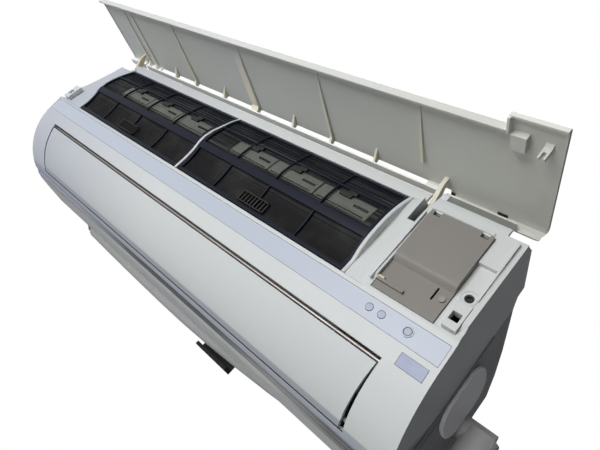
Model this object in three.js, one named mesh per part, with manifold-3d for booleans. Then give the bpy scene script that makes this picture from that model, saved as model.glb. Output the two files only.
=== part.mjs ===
// Split air conditioner, indoor unit, hung on its wall plate with the intake panel swung open.
// Millimetres. X runs along the unit, Y points at the wall, Z points up.
// The origin is the middle of the wall plate's rear face, level with the ridge above the band.
// Every section below is drawn as [back, up]: back counts from the front reference plane.
import * as THREE from "three";
import { mergeVertices } from "three/addons/utils/BufferGeometryUtils.js";
import Module from "manifold-3d";

// Driving sizes of the body
const BODY_WIDTH = 798;
const BODY_DEPTH = 215;
const TOP_UP = 125.4;
const SEAM_BACK = 98;
const SIDE_FLARE = 9;
const WALL = 2.5;
const GAP = 0.4;
const FREE_GAP = 1.2;
const HALF = BODY_WIDTH / 2;

// Lower front, part of an ellipse
const BELLY_BACK = 117;
const BELLY_UP = -10;
const BELLY_DEEP = 115;
const BELLY_HIGH = 112;
const BAND_ANGLE = 8.1;
const BAND_FOOT_UP = -25.8;
const BAND_HEAD_UP = -4;
const BAND_THICK = 1.3;

// Upper front
const RIDGE_BACK = -1;
const FRONT_BACK = 2.5;
const FILTER_MARGIN = 69.8;
const OPENING_FOOT = 1.8;
const RAIL_BACK = 10.5;
const DECK_STEP = 81;
const DECK_DROP = 14;
const SEAM_FALL = 6.8;
const RAIL_HIGH = 13;
const GROOVE_DEEP = 1.2;
const BORDER_WIDE = 4;
const LID_RAIL_END = HALF - 25;

// Right block with the electronics bay
const COLUMN_WIDE = 27;
const BAY_WIDE = 68.3;
const BAY_HEAD = 107;
const BAY_RAIL_WIDE = 6;
const BETWEEN_WIDE = 31.5;
const BLOCK_PROUD = 8;
const BLOCK_HEAD_PROUD = 5;
const BLOCK_FOOT_UP = 5;
const BLOCK_TOE_PROUD = 3.8;
const BLOCK_TOE_UP = 11;
const BLOCK_HEAD_UP = 117;
const COLUMN_PROUD = 0.5;
const COLUMN_STEP_UP = 77;
const EDGE_RAIL_WIDE = 5.5;
const WELL_X = HALF - 15;
const WELL_UP = 42;
const WELL_R = 4.5;
const WELL_FLOOR = 15.5;
const BAY_RIGHT = HALF - COLUMN_WIDE;
const BAY_LEFT = BAY_RIGHT - BAY_WIDE;
const BLOCK_LEFT = BAY_LEFT - BAY_RAIL_WIDE;
const OPENING_LEFT = FILTER_MARGIN - HALF;
const OPENING_RIGHT = BLOCK_LEFT - BETWEEN_WIDE;
const OPENING_MID = (OPENING_LEFT + OPENING_RIGHT) / 2;
const DIVIDER_WIDE = 3.6;
const DIVIDER_DEEP = 5;

// Air outlet
const OUTLET_LEFT = 52 - HALF;
const OUTLET_RIGHT = HALF - 47;
const OUTLET_HEAD_ANGLE = 18.2;
const OUTLET_FOOT_ANGLE = 63.5;
const OUTLET_SLANT = 6;
const FLAP_HEAD_ANGLE = 21.5;
const FLAP_FOOT_ANGLE = 62.5;
const FLAP_THICK = 3;
const FLAP_END_GAP = 4;
const FLAP_SLANT = 10;
const FLAP_AXIS_BACK = 62;
const FLAP_AXIS_UP = -100;
const FLAP_PIN_R = 2.5;
const FLAP_EAR_WIDE = 4;
const LOUVER_BACK = 40;
const LOUVER_UP = -66;
const LOUVER_HALF = 14;
const LOUVER_THICK = 2;
const LOUVER_PIN_R = 2;
const TRIM_BAR_BACK = 16.5;
const TRIM_BAR_UP = -46.8;
const TRIM_BAR_R = 2;
const CHEEK_THICK = 2.5;
const CHEEK_GAP = 3.5;
const CHEEK_LEFT = OUTLET_LEFT - CHEEK_GAP;
const CHEEK_RIGHT = OUTLET_RIGHT + FREE_GAP;

// Fan, its motor and bearing
const FAN_BACK = 118;
const FAN_UP = -26;
const FAN_R = 42;
const FAN_RING_WIDE = 10;
const FAN_BLADES = 12;
const FAN_RINGS = 4;
const BLADE_THICK = 1.6;
const BLADE_LEAN = 25;
const DISC_THICK = 2.4;
const SHAFT_R = 4;
const FAN_LEFT = CHEEK_LEFT + CHEEK_THICK + 9;
const FAN_RIGHT = BAY_LEFT - 1.7;
const HUB_R = 11;
const MOTOR_R = 35;
const MOTOR_LONG = 60;
const MOTOR_LEFT = FAN_RIGHT + 6;
const BEARING_R = 12;
const BEARING_LONG = 6;

// Intake panel, hinged at the top and shown wide open
const HINGE_BACK = 24;
const HINGE_UP = 124;
const PANEL_FACE_UP = 162.5;
const PANEL_THICK = 2.2;
const PANEL_FREE_BACK = -95.8;
const PANEL_LIP_UP = 152.5;
const PANEL_TAB_BACK = -110.3;
const PANEL_TAB_LIP_UP = 155.5;
const PANEL_TAB_LEFT = HALF - 46.2;
const PANEL_EDGE_BACK = 22.5;
const PANEL_END_BACK = 31.5;
const PANEL_BAR_BACK = 18.5;
const PANEL_BAR_WIDE = 10;
const PANEL_BAR_THICK = 1.8;
const PANEL_BAR_DROP = 12.9;
const PANEL_HEEL_UP = PANEL_FACE_UP - PANEL_BAR_DROP;
const PANEL_SKIRT = 4;
const BOSS_LEFT = HALF - 44.5;
const BOSS_WIDE = 14;
const BOSS_BACK = -92;
const BOSS_LONG = 17;
const BOSS_HIGH = 7.5;
const PANEL_CORNER = 9;
const RIB_HIGH = 4;
const RIB_THICK = 3.6;
const WIDE_RIB = 14;
const SHORT_RIB_HEEL = -5;
const TOOTH_THICK = 3;
const ARM_THICK = 5;
const ARM_KNUCKLE_R = 6;
const PIN_R = 2.5;
const PIN_LONG = 17;
const ARM_RIGHT_X = BLOCK_LEFT - 10.7;
const ARM_LEFT_X = 52 - HALF;
const SLOT_WIDE = 9;
const EAR_THICK = 4;
const CLIP_X = HALF - 13.5;
const CLIP_REACH = 16;
const CLIP_BACK = -84;
const CATCH_FOOT = 13;
const CATCH_HEAD = 22;
const CATCH_LEFT_WIDE = 16;
const CATCH_LEFT_PROUD = 2.5;
const CATCH_LEFT_HEAD = 34;
const CATCH_RIGHT_HEAD = 33;
const CATCH_RIM = 5.5;

// Filters
const FILTER_THICK = 3;
const MESH_THICK = 0.8;
const FILTER_BAR = 5;
const FILTER_RIB = 2.6;
const FILTER_ROOM = 20;
const WIDE_BAR_FOOT = 44;
const WIDE_BAR_HEAD = 55;
const CASSETTE_WIDE = 76;
const CASSETTE_DEEP = 5;
const CASSETTE_SKIN = 2;
const CASSETTE_RIM = 4;

// Heat exchanger
const COIL_HALF_THICK = 10;
const FIN_COUNT = 12;
const FIN_PROUD = 1.5;
const END_PLATE_THICK = 1.5;
const COIL_LEFT = OPENING_LEFT - 2;
const COIL_RIGHT = OPENING_RIGHT - 4;
const BEND_TUBE_R = 3.5;
const BEND_REACH = 12;

// Electrical box and its cover
const COVER_PROUD = 9.5;
const COVER_LOW_PROUD = 3;
const COVER_STEP_UP = 42;
const COVER_SKIN = 2.2;
const BOX_SKIN = 2;
const BOX_FRONT = 6.2;
const BOX_REAR = 66;
const BOX_FOOT = 6;
const BOX_HEAD = BAY_HEAD - 2;
const BOARD_THICK = 1.6;
const BOARD_BACK = 44;

// Lamps, button and receiver on the band
const RUN_LAMP_X = HALF - 84;
const TIMER_LAMP_X = HALF - 70;
const BUTTON_X = HALF - 41;
const LAMP_UP = -14;
const LAMP_R = 3.8;
const BUTTON_R = 3.6;
const LAMP_FRONT = 1.3;
const LAMP_LONG = 7;
const RECEIVER_LEFT = HALF - 35;
const RECEIVER_RIGHT = HALF - 7;
const RECEIVER_HEAD_ANGLE = 11;
const RECEIVER_FOOT_ANGLE = 17.5;

// Wall plate and pipes
const PLATE_HALF_WIDE = 362;
const PLATE_FOOT = -74;
const PLATE_HEAD = 30;
const PLATE_THICK = 2;
const PLATE_WINDOW_FOOT = -58;
const PLATE_WINDOW_HEAD = -8;
const BACK_WALL = BODY_DEPTH - 12;
const BACK_WALL_THICK = 3;
const RIM_GAP = 0.5;
const CHANNEL_FRONT = BODY_DEPTH - 50;
const CHANNEL_ROOF = -84;
const GAS_PIPE_R = 15;
const LIQUID_PIPE_R = 8.5;
const GAS_PIPE_BACK = BODY_DEPTH - 17.7;
const LIQUID_PIPE_BACK = BODY_DEPTH - 39.1;
const HOSE_R = 15;
const SLEEVE_R = 20;
const SLEEVE_HEAD = -5;
const HOSE_BACK = BODY_DEPTH - 28;
const HOSE_UP = -10.5;
const HOSE_X = HALF + 31;
const HOSE_FOOT = -120;

// Raised oval cover on the right side
const KNOCKOUT_NEAR = 102;
const KNOCKOUT_FAR = HOSE_BACK - HOSE_R - 3;
const KNOCKOUT_FOOT = -41;
const KNOCKOUT_HEAD = 41;
const KNOCKOUT_CORNER = 27;
const KNOCKOUT_PROUD = 4.5;

// Clamp that holds the pipes
const CLAMP_LEFT = 55;
const CLAMP_RIGHT = 122;
const CLAMP_FOOT = -142;
const CLAMP_THICK = 5.5;

const wasm = await Module();
wasm.setup();

// Turns a closed three.js geometry into a solid for the cuts and joins.
function solid(geometry) {
  const bare = geometry.clone();
  bare.deleteAttribute("normal");
  bare.deleteAttribute("uv");
  const merged = mergeVertices(bare, 1e-4);
  return new wasm.Manifold(
    new wasm.Mesh({
      numProp: 3,
      vertProperties: new Float32Array(merged.attributes.position.array),
      triVerts: new Uint32Array(merged.index.array),
    }),
  );
}

function sweep(points, reach, matrix) {
  const outline = new THREE.Shape(points.map(([a, b]) => new THREE.Vector2(a, b)));
  const geometry = new THREE.ExtrudeGeometry(outline, { depth: reach, bevelEnabled: false, steps: 1 });
  return solid(geometry.applyMatrix4(matrix));
}

// Section [back, up] drawn from x0 to x1.
function along(points, x0, x1) {
  const matrix = new THREE.Matrix4().set(0, 0, 1, x0, 1, 0, 0, 0, 0, 1, 0, 0, 0, 0, 0, 1);
  return sweep(points, x1 - x0, matrix);
}

// Front outline [x, up] drawn from back0 to back1.
function through(points, back0, back1) {
  const matrix = new THREE.Matrix4().set(1, 0, 0, 0, 0, 0, -1, back1, 0, 1, 0, 0, 0, 0, 0, 1);
  return sweep(points, back1 - back0, matrix);
}

// Plan outline [x, back] drawn from up0 to up1.
function upright(points, up0, up1) {
  return sweep(points, up1 - up0, new THREE.Matrix4().makeTranslation(0, 0, up0));
}

function box(x0, x1, back0, back1, up0, up1) {
  const geometry = new THREE.BoxGeometry(x1 - x0, back1 - back0, up1 - up0);
  geometry.translate((x0 + x1) / 2, (back0 + back1) / 2, (up0 + up1) / 2);
  return solid(geometry);
}

// Round bar between two points [x, back, up].
function rod(from, to, radius, sides = 18) {
  const a = new THREE.Vector3(...from);
  const b = new THREE.Vector3(...to);
  const geometry = new THREE.CylinderGeometry(radius, radius, a.distanceTo(b), sides);
  const turn = new THREE.Quaternion().setFromUnitVectors(
    new THREE.Vector3(0, 1, 0),
    b.clone().sub(a).normalize(),
  );
  geometry.applyQuaternion(turn);
  geometry.translate((a.x + b.x) / 2, (a.y + b.y) / 2, (a.z + b.z) / 2);
  return solid(geometry);
}

function ring(from, to, radius, hole, sides = 18) {
  const a = new THREE.Vector3(...from);
  const b = new THREE.Vector3(...to);
  const over = b.clone().sub(a).normalize();
  const start = a.clone().sub(over).toArray();
  const end = b.clone().add(over).toArray();
  return rod(from, to, radius, sides).subtract(rod(start, end, hole, sides));
}

// Bent round tube through a list of points, its corners rounded by a smooth curve.
function tube(points, radius, sides, steps) {
  const path = new THREE.CatmullRomCurve3(
    points.map((p) => new THREE.Vector3(...p)),
    false,
    "centripetal",
  );
  const outline = new THREE.Shape();
  outline.absarc(0, 0, radius, 0, Math.PI * 2, false);
  const settings = { extrudePath: path, steps, curveSegments: sides, bevelEnabled: false };
  return solid(new THREE.ExtrudeGeometry(outline, settings));
}

const join = (...pieces) => pieces.reduce((whole, piece) => whole.add(piece));
const cut = (whole, ...pieces) => pieces.reduce((left, piece) => left.subtract(piece), whole);
const angle = (degrees) => (degrees * Math.PI) / 180;

// Point on the lower front, inset from the outer skin.
function belly(degrees, inset = 0) {
  const a = angle(degrees);
  return [
    BELLY_BACK - (BELLY_DEEP - inset) * Math.cos(a),
    BELLY_UP - (BELLY_HIGH - inset) * Math.sin(a),
  ];
}

function bellyArc(from, to, inset, count) {
  return Array.from({ length: count + 1 }, (_, i) => belly(from + ((to - from) * i) / count, inset));
}

// Closed outline of a strip: a line of points and its copy moved sideways by the thickness.
function strip(points, thickness) {
  const moved = points.map((point, i) => {
    const before = points[Math.max(i - 1, 0)];
    const after = points[Math.min(i + 1, points.length - 1)];
    const enter = unit(before, i > 0 ? point : after);
    const leave = unit(i > 0 && i < points.length - 1 ? point : before, after);
    const mitre = 1 + enter[0] * leave[0] + enter[1] * leave[1];
    return [
      point[0] - (thickness * (enter[1] + leave[1])) / mitre,
      point[1] + (thickness * (enter[0] + leave[0])) / mitre,
    ];
  });
  return [...points, ...moved.reverse()];
}

function unit(from, to) {
  const long = Math.hypot(to[0] - from[0], to[1] - from[1]);
  return [(to[0] - from[0]) / long, (to[1] - from[1]) / long];
}

const group = new THREE.Group();
group.name = "split_air_conditioner_indoor_unit";

// Adds one finished piece: its own mesh, name and material, set back from the wall.
function piece(name, body, color, roughness = 0.55, metalness = 0) {
  const mesh = body.getMesh();
  const geometry = new THREE.BufferGeometry();
  geometry.setAttribute("position", new THREE.BufferAttribute(new Float32Array(mesh.vertProperties), 3));
  geometry.setIndex(new THREE.BufferAttribute(new Uint32Array(mesh.triVerts), 1));
  geometry.translate(0, -BODY_DEPTH, 0);
  geometry.computeVertexNormals();
  const material = new THREE.MeshStandardMaterial({ color, roughness, metalness });
  const item = new THREE.Mesh(geometry, material);
  item.name = name;
  group.add(item);
}

const OFF_WHITE = 0xd3d4d0;
const PALE_LILAC = 0xc6cadb;
const WARM_GREY = 0x8d8984;
const MID_GREY = 0x77787a;
const NEAR_BLACK = 0x1d1f28;
const STEEL = 0xb9bcc0;
const ALUMINIUM = 0xc3c6ca;
const COPPER = 0xb87345;
const FOAM = 0xd9dad6;

// Front shell
const seamAngle = 90 - (Math.asin((BELLY_BACK - SEAM_BACK) / BELLY_DEEP) * 180) / Math.PI;
const frontFace = [
  [FRONT_BACK, OPENING_FOOT],
  [FRONT_BACK + GAP, TOP_UP * 0.48],
  [FRONT_BACK + 1.5, TOP_UP * 0.8],
  [FRONT_BACK + 3.5, TOP_UP * 0.92],
  [FRONT_BACK + 6.5, TOP_UP * 0.973],
  [RAIL_BACK + 2.5, TOP_UP],
];
const shellOutside = [
  ...bellyArc(seamAngle, BAND_ANGLE, 0, 15),
  [BAND_THICK + 0.3 + 3.4, BAND_FOOT_UP + 0.1],
  [BAND_THICK + 0.5, BAND_HEAD_UP + 0.1],
  [0, BAND_HEAD_UP + 0.1],
  [RIDGE_BACK, 0],
  ...frontFace,
  [DECK_STEP, TOP_UP - 1],
  [DECK_STEP + 1, TOP_UP - DECK_DROP],
  [SEAM_BACK, TOP_UP - DECK_DROP - SEAM_FALL],
];
const shellInside = [
  ...bellyArc(seamAngle, 13, WALL, 10),
  [7.8, BAND_FOOT_UP],
  [5.4, BAND_HEAD_UP],
  ...frontFace.map(([back, up]) => [back + WALL + 0.5, up - WALL]),
  [DECK_STEP - WALL, TOP_UP - 1 - WALL],
  [DECK_STEP - WALL + 1, TOP_UP - DECK_DROP - WALL],
  [SEAM_BACK + WALL, TOP_UP - DECK_DROP - SEAM_FALL - WALL - FREE_GAP],
  [SEAM_BACK + WALL, BELLY_UP - BELLY_HIGH + WALL],
];
const blockOutside = [
  [RIDGE_BACK, 0],
  [-BLOCK_TOE_PROUD, BLOCK_FOOT_UP - 1],
  [-BLOCK_TOE_PROUD, BLOCK_TOE_UP],
  [-BLOCK_PROUD, BLOCK_TOE_UP + 5],
  [-BLOCK_HEAD_PROUD, BLOCK_HEAD_UP],
  [-BLOCK_HEAD_PROUD + 4.5, BLOCK_HEAD_UP + 1],
  [RAIL_BACK + 2.5, TOP_UP],
  [RAIL_BACK + 2.5, 0],
];
const ledgeDepth = RAIL_BACK + 6;
const dividerLine = [
  [-0.5, OPENING_FOOT - 1],
  [-0.8, TOP_UP * 0.16],
  [-3, TOP_UP * 0.3],
  [-6.3, TOP_UP * 0.4],
  [-7.2, TOP_UP * 0.49],
  [-5, TOP_UP * 0.61],
  [0, TOP_UP * 0.74],
  [5.5, TOP_UP * 0.88],
  [RAIL_BACK + 1, TOP_UP * 0.985],
];

// Lower surface at the left of the filters, and the room that the inside leaves behind it
const borderLine = [
  [5, OPENING_FOOT + 2],
  [6, TOP_UP * 0.24],
  [10.8, TOP_UP * 0.415],
  [15.4, TOP_UP * 0.63],
  [19.3, TOP_UP * 0.845],
  [21.5, TOP_UP + 1],
];
const leftBorder = (inset) =>
  along(
    [[-BLOCK_PROUD, OPENING_FOOT + 2 - inset], ...borderLine.map(([back, up]) => [back + inset, up]),
      [-BLOCK_PROUD, TOP_UP + 1]],
    -HALF - 1, OPENING_LEFT - BORDER_WIDE + inset,
  );

function outletHole() {
  const [, head] = belly(OUTLET_HEAD_ANGLE);
  const [, foot] = belly(OUTLET_FOOT_ANGLE);
  const outline = [
    [OUTLET_LEFT, head],
    [OUTLET_LEFT, foot],
    [OUTLET_RIGHT - OUTLET_SLANT, foot],
    [OUTLET_RIGHT, head],
  ];
  return through(outline, -GAP, BELLY_BACK - 35);
}

function deckSlots() {
  const count = 15;
  const pitch = (OPENING_RIGHT - OPENING_LEFT) / count;
  return Array.from({ length: count }, (_, i) => {
    const x = OPENING_LEFT + (i + 0.5) * pitch;
    const half = pitch * 0.4;
    return box(x - half, x + half, HINGE_BACK + 4, DECK_STEP - 5, TOP_UP - 8, TOP_UP + 4);
  });
}

function hingeSlot(x) {
  const half = SLOT_WIDE / 2;
  return box(x - half, x + half, -BLOCK_PROUD - 4, HINGE_BACK + 10, TOP_UP - 34, TOP_UP + 8);
}

function hingeEars(x) {
  const outline = [
    [HINGE_BACK - 7, TOP_UP - 9],
    [HINGE_BACK + 7, TOP_UP - 9],
    [HINGE_BACK + 7, HINGE_UP + 3],
    [HINGE_BACK + 3, HINGE_UP + 6],
    [HINGE_BACK - 3, HINGE_UP + 6],
    [HINGE_BACK - 7, HINGE_UP + 3],
  ];
  const half = SLOT_WIDE / 2;
  const ears = join(
    along(outline, x - half - EAR_THICK, x - half),
    along(outline, x + half, x + half + EAR_THICK),
  );
  const reach = half + EAR_THICK + 1;
  return [ears, rod([x - reach, HINGE_BACK, HINGE_UP], [x + reach, HINGE_BACK, HINGE_UP], PIN_R + GAP)];
}

function frontShell() {
  const shell = along(shellOutside, -HALF, HALF);
  const inside = along(shellInside, WALL - HALF, HALF - WALL);
  const block = along(blockOutside, BLOCK_LEFT, HALF);
  const blockInside = box(BAY_RIGHT + WALL, HALF - WALL, WALL, ledgeDepth, BLOCK_FOOT_UP + 2, BAY_HEAD);
  const bandEnd = 3;
  const endFill = join(
    along([[0, BAND_HEAD_UP + 0.2], [3.35, BAND_FOOT_UP], [8, BAND_FOOT_UP], [6, BAND_HEAD_UP + 0.2]],
      -HALF, bandEnd - HALF),
    along([[0, BAND_HEAD_UP + 0.2], [3.35, BAND_FOOT_UP], [8, BAND_FOOT_UP], [6, BAND_HEAD_UP + 0.2]],
      HALF - bandEnd, HALF),
  );
  const window = along(
    [[-1, belly(RECEIVER_HEAD_ANGLE)[1]], [-1, belly(RECEIVER_FOOT_ANGLE)[1]],
      [15, belly(RECEIVER_FOOT_ANGLE)[1]], [15, belly(RECEIVER_HEAD_ANGLE)[1]]],
    RECEIVER_LEFT, RECEIVER_RIGHT,
  );
  const [earsRight, boreRight] = hingeEars(ARM_RIGHT_X);
  const [earsLeft, boreLeft] = hingeEars(ARM_LEFT_X);
  const railOutline = [
    [RAIL_BACK, TOP_UP - 3],
    [RAIL_BACK + 0.3, TOP_UP + RAIL_HIGH * 0.45],
    [RAIL_BACK + 1.6, TOP_UP + RAIL_HIGH * 0.85],
    [RAIL_BACK + 3, TOP_UP + RAIL_HIGH],
    [RAIL_BACK + 5, TOP_UP + RAIL_HIGH],
    [RAIL_BACK + 5, TOP_UP - 3],
  ];
  const topRail = join(
    along(railOutline, ARM_LEFT_X + SLOT_WIDE / 2, ARM_RIGHT_X - SLOT_WIDE / 2),
    along(railOutline, ARM_RIGHT_X + SLOT_WIDE / 2, LID_RAIL_END),
  );
  const slotWall = box(ARM_RIGHT_X - SLOT_WIDE / 2 - WALL, ARM_RIGHT_X - SLOT_WIDE / 2, FRONT_BACK + 1,
    HINGE_BACK + 12, TOP_UP - 38, TOP_UP - 1);
  const footGroove = along(
    [...bellyArc(69, 73, -1, 3), ...bellyArc(73, 69, GROOVE_DEEP, 3)],
    -HALF - 1, HALF + 1,
  );
  const body = cut(
    join(cut(join(shell, block), cut(inside, leftBorder(WALL)), blockInside), endFill, topRail, slotWall),
    leftBorder(0),
    box(OPENING_LEFT, OPENING_RIGHT, -8, RAIL_BACK, OPENING_FOOT, TOP_UP + 4),
    box(OPENING_LEFT, OPENING_RIGHT, 0, RAIL_BACK + 3.5, OPENING_FOOT, TOP_UP - 3.6),
    box(BAY_LEFT, BAY_RIGHT, -20, ledgeDepth, BLOCK_FOOT_UP - 2, BAY_HEAD),
    box(BAY_RIGHT, HALF - EDGE_RAIL_WIDE, -20, -COLUMN_PROUD, BLOCK_FOOT_UP - 2, COLUMN_STEP_UP),
    box(CLIP_X - 5, CLIP_X + 5, -20, ledgeDepth, CATCH_FOOT - 0.2, CATCH_HEAD + 0.3),
    rod([WELL_X, -20, WELL_UP], [WELL_X, ledgeDepth, WELL_UP], WELL_R),
    footGroove,
    outletHole(),
    window,
    ...deckSlots(),
    hingeSlot(ARM_RIGHT_X),
    hingeSlot(ARM_LEFT_X),
    ...[RUN_LAMP_X, TIMER_LAMP_X, BUTTON_X].map((x) =>
      rod([x, -2, LAMP_UP], [x, 12, LAMP_UP], LAMP_R + GAP)),
  );
  const divider = along(strip(dividerLine, -DIVIDER_DEEP), OPENING_MID - DIVIDER_WIDE / 2,
    OPENING_MID + DIVIDER_WIDE / 2);
  const wellRing = join(
    ring([WELL_X, -COLUMN_PROUD - 0.8, WELL_UP], [WELL_X, WELL_FLOOR + 1.5, WELL_UP], 7, WELL_R),
    ring([WELL_X, WELL_FLOOR, WELL_UP], [WELL_X, WELL_FLOOR + 1.5, WELL_UP], 7, 1.9),
  );
  const eared = cut(join(body, earsRight, earsLeft), boreRight, boreLeft);
  return join(eared, divider, wellRing);
}
piece("front_shell", frontShell(), OFF_WHITE);

// Accent band, lamps, button, receiver
const bandOutline = [
  [0.3, BAND_HEAD_UP - 0.3],
  [3.4, BAND_FOOT_UP + 0.5],
  [3.4 + BAND_THICK, BAND_FOOT_UP + 0.5],
  [0.3 + BAND_THICK, BAND_HEAD_UP - 0.3],
];
const bandHoles = [RUN_LAMP_X, TIMER_LAMP_X, BUTTON_X].map((x) =>
  rod([x, -3, LAMP_UP], [x, 8, LAMP_UP], LAMP_R + GAP));
const bandRing = ring([BUTTON_X, 0.9, LAMP_UP], [BUTTON_X, 2.4, LAMP_UP], LAMP_R + 1.8, LAMP_R + GAP);
piece(
  "accent_band",
  join(cut(along(bandOutline, 3 + GAP - HALF, HALF - 3 - GAP), ...bandHoles), bandRing),
  PALE_LILAC,
  0.35,
);
const lens = (x) => rod([x, LAMP_FRONT, LAMP_UP], [x, LAMP_FRONT + LAMP_LONG, LAMP_UP], LAMP_R);
piece("run_lamp_lens", lens(RUN_LAMP_X), 0xb7b6d2, 0.25);
piece("timer_lamp_lens", lens(TIMER_LAMP_X), 0xb7b6d2, 0.25);
piece(
  "emergency_button",
  rod([BUTTON_X, LAMP_FRONT - 0.3, LAMP_UP], [BUTTON_X, LAMP_FRONT + LAMP_LONG, LAMP_UP], BUTTON_R),
  0xb4b8c8,
  0.4,
);
const receiverSkin = 2;
const receiverArc = [
  ...bellyArc(RECEIVER_HEAD_ANGLE + 0.2, RECEIVER_FOOT_ANGLE - 0.2, -0.2, 3),
  ...bellyArc(RECEIVER_FOOT_ANGLE - 0.2, RECEIVER_HEAD_ANGLE + 0.2, receiverSkin, 3),
];
piece("receiver_window", along(receiverArc, RECEIVER_LEFT + GAP, RECEIVER_RIGHT - GAP), 0xaab1cb, 0.2);
const displayBack = 13;
const displayBoard = join(
  box(RUN_LAMP_X - 8, RECEIVER_RIGHT, displayBack, displayBack + BOARD_THICK, -42, -5),
  rod([RUN_LAMP_X, displayBack - 4.3, LAMP_UP], [RUN_LAMP_X, displayBack + 1, LAMP_UP], 2.5, 16),
  rod([TIMER_LAMP_X, displayBack - 4.3, LAMP_UP], [TIMER_LAMP_X, displayBack + 1, LAMP_UP], 2.5, 16),
  box(BUTTON_X - 3, BUTTON_X + 3, displayBack - 2.6, displayBack + 1, LAMP_UP - 3, LAMP_UP + 3),
);
piece("display_board", displayBoard, 0x2f6b45);

// Rear chassis: skin, back wall, pipe channel and the scroll behind the fan
const chassisStart = SEAM_BACK + GAP;
const rearMost = BODY_DEPTH - RIM_GAP;
const skinShares = [
  [0, 1],
  [0.152, 0.971],
  [0.5, 0.901],
  [0.789, 0.821],
  [1, 0.731],
];
const skinFoot = BELLY_UP - BELLY_HIGH;
const skinHead = TOP_UP - DECK_DROP - SEAM_FALL;
const skinPoint = ([b, u]) => [
  chassisStart + b * (rearMost - chassisStart),
  skinFoot + u * (skinHead - skinFoot),
];
const skinTop = skinShares.map(skinPoint);
const chassisOutside = [
  ...skinTop,
  [rearMost, CHANNEL_ROOF],
  [CHANNEL_FRONT, CHANNEL_ROOF],
  [CHANNEL_FRONT, skinFoot - 2],
  [BELLY_BACK, skinFoot],
  [chassisStart, belly(seamAngle)[1]],
];
const roofInside = CHANNEL_ROOF + WALL;
const wallHead = skinTop[4][1] + 5;
const chassisInside = [
  [chassisStart - 4, skinHead - WALL],
  ...skinTop.slice(1, 4).map(([back, up]) => [back - 1.5, up - WALL - 0.6]),
  [BACK_WALL, wallHead],
  [BACK_WALL, roofInside],
  [CHANNEL_FRONT - WALL, roofInside],
  [CHANNEL_FRONT - WALL, skinFoot - 2 + WALL],
  [BELLY_BACK, skinFoot + WALL],
  [chassisStart - 4, skinFoot + WALL + 1],
];
const scrollLine = [
  [BACK_WALL + 1, 31],
  [183, 16],
  [178, -9],
  [174, -39],
  [164, -66],
  [146, -88],
  [124, -101],
  [100, -106],
  [72, -106],
];

function flaredPlan(inset) {
  const near = HALF - inset;
  const far = HALF + SIDE_FLARE - inset;
  return [
    [-near, chassisStart - 6],
    [near, chassisStart - 6],
    [near, chassisStart],
    [far, BODY_DEPTH],
    [-far, BODY_DEPTH],
    [-near, chassisStart],
  ];
}

function cheek(x) {
  const outline = [
    ...bellyArc(17.6, seamAngle - 3, CHEEK_GAP, 10),
    [BELLY_BACK, skinFoot + 1],
    [CHANNEL_FRONT - 1, skinFoot - 1],
    [CHANNEL_FRONT - 1, -60],
    [CHANNEL_FRONT + 8, -30],
    [CHANNEL_FRONT + 8, 4],
    [60, 4],
    [60, -43.5],
  ];
  return along(outline, x, x + CHEEK_THICK);
}

function chassisSlot(side) {
  const x = side * (HALF + SIDE_FLARE / 2);
  return [0, 1, 2].map((i) =>
    box(x - 6, x + 6, 106 + 3.2 * i, 107.4 + 3.2 * i, -72 - 3 * i, -38 + 6 * i));
}

function rearChassis() {
  const envelope = upright(flaredPlan(0), skinFoot - 6, TOP_UP);
  const hollow = upright(flaredPlan(WALL), skinFoot - 6, TOP_UP);
  const reach = HALF + SIDE_FLARE + 2;
  const outside = along(chassisOutside, -reach, reach).intersect(envelope);
  const inside = along(chassisInside, -reach, reach).intersect(hollow);
  const recess = box(-HALF - 1, HALF + 1, BACK_WALL + BACK_WALL_THICK, BODY_DEPTH + 1, CHANNEL_ROOF + 3,
    skinTop[4][1] - 4);
  const scroll = along(strip(scrollLine, 2.5), CHEEK_LEFT + 1, CHEEK_RIGHT + 1);
  const motorHole = rod([CHEEK_RIGHT - 2, FAN_BACK, FAN_UP], [CHEEK_RIGHT + 6, FAN_BACK, FAN_UP],
    MOTOR_R + 2, 28);
  const shaftHole = rod([CHEEK_LEFT - 2, FAN_BACK, FAN_UP], [CHEEK_LEFT + 6, FAN_BACK, FAN_UP],
    SHAFT_R + 1);
  const pinHole = (x, back, up, r) => rod([x - 2, back, up], [x + 6, back, up], r);
  const seamRib = along([[chassisStart, -75], [chassisStart + 3, -75], [chassisStart + 3, 66],
    [chassisStart, 66]], HALF - 2, HALF + 1.6);
  const seamRibLeft = along([[chassisStart, -75], [chassisStart + 3, -75], [chassisStart + 3, 66],
    [chassisStart, 66]], -HALF - 1.6, 2 - HALF);
  const hoseHole = rod([HALF - 8, HOSE_BACK, HOSE_UP], [HALF + 20, HOSE_BACK, HOSE_UP], HOSE_R + 1, 28);
  const skin = cut(outside, inside, recess);
  const whole = join(
    skin,
    scroll,
    cut(cheek(CHEEK_LEFT), shaftHole, pinHole(CHEEK_LEFT, FLAP_AXIS_BACK, FLAP_AXIS_UP, FLAP_PIN_R + GAP),
      pinHole(CHEEK_LEFT, LOUVER_BACK, LOUVER_UP, LOUVER_PIN_R + GAP)),
    cut(cheek(CHEEK_RIGHT), motorHole,
      pinHole(CHEEK_RIGHT, FLAP_AXIS_BACK, FLAP_AXIS_UP, FLAP_PIN_R + GAP),
      pinHole(CHEEK_RIGHT, LOUVER_BACK, LOUVER_UP, LOUVER_PIN_R + GAP)),
    seamRib,
    seamRibLeft,
  );
  return cut(whole, hoseHole, ...chassisSlot(1));
}
piece("rear_chassis", rearChassis(), OFF_WHITE);

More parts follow.
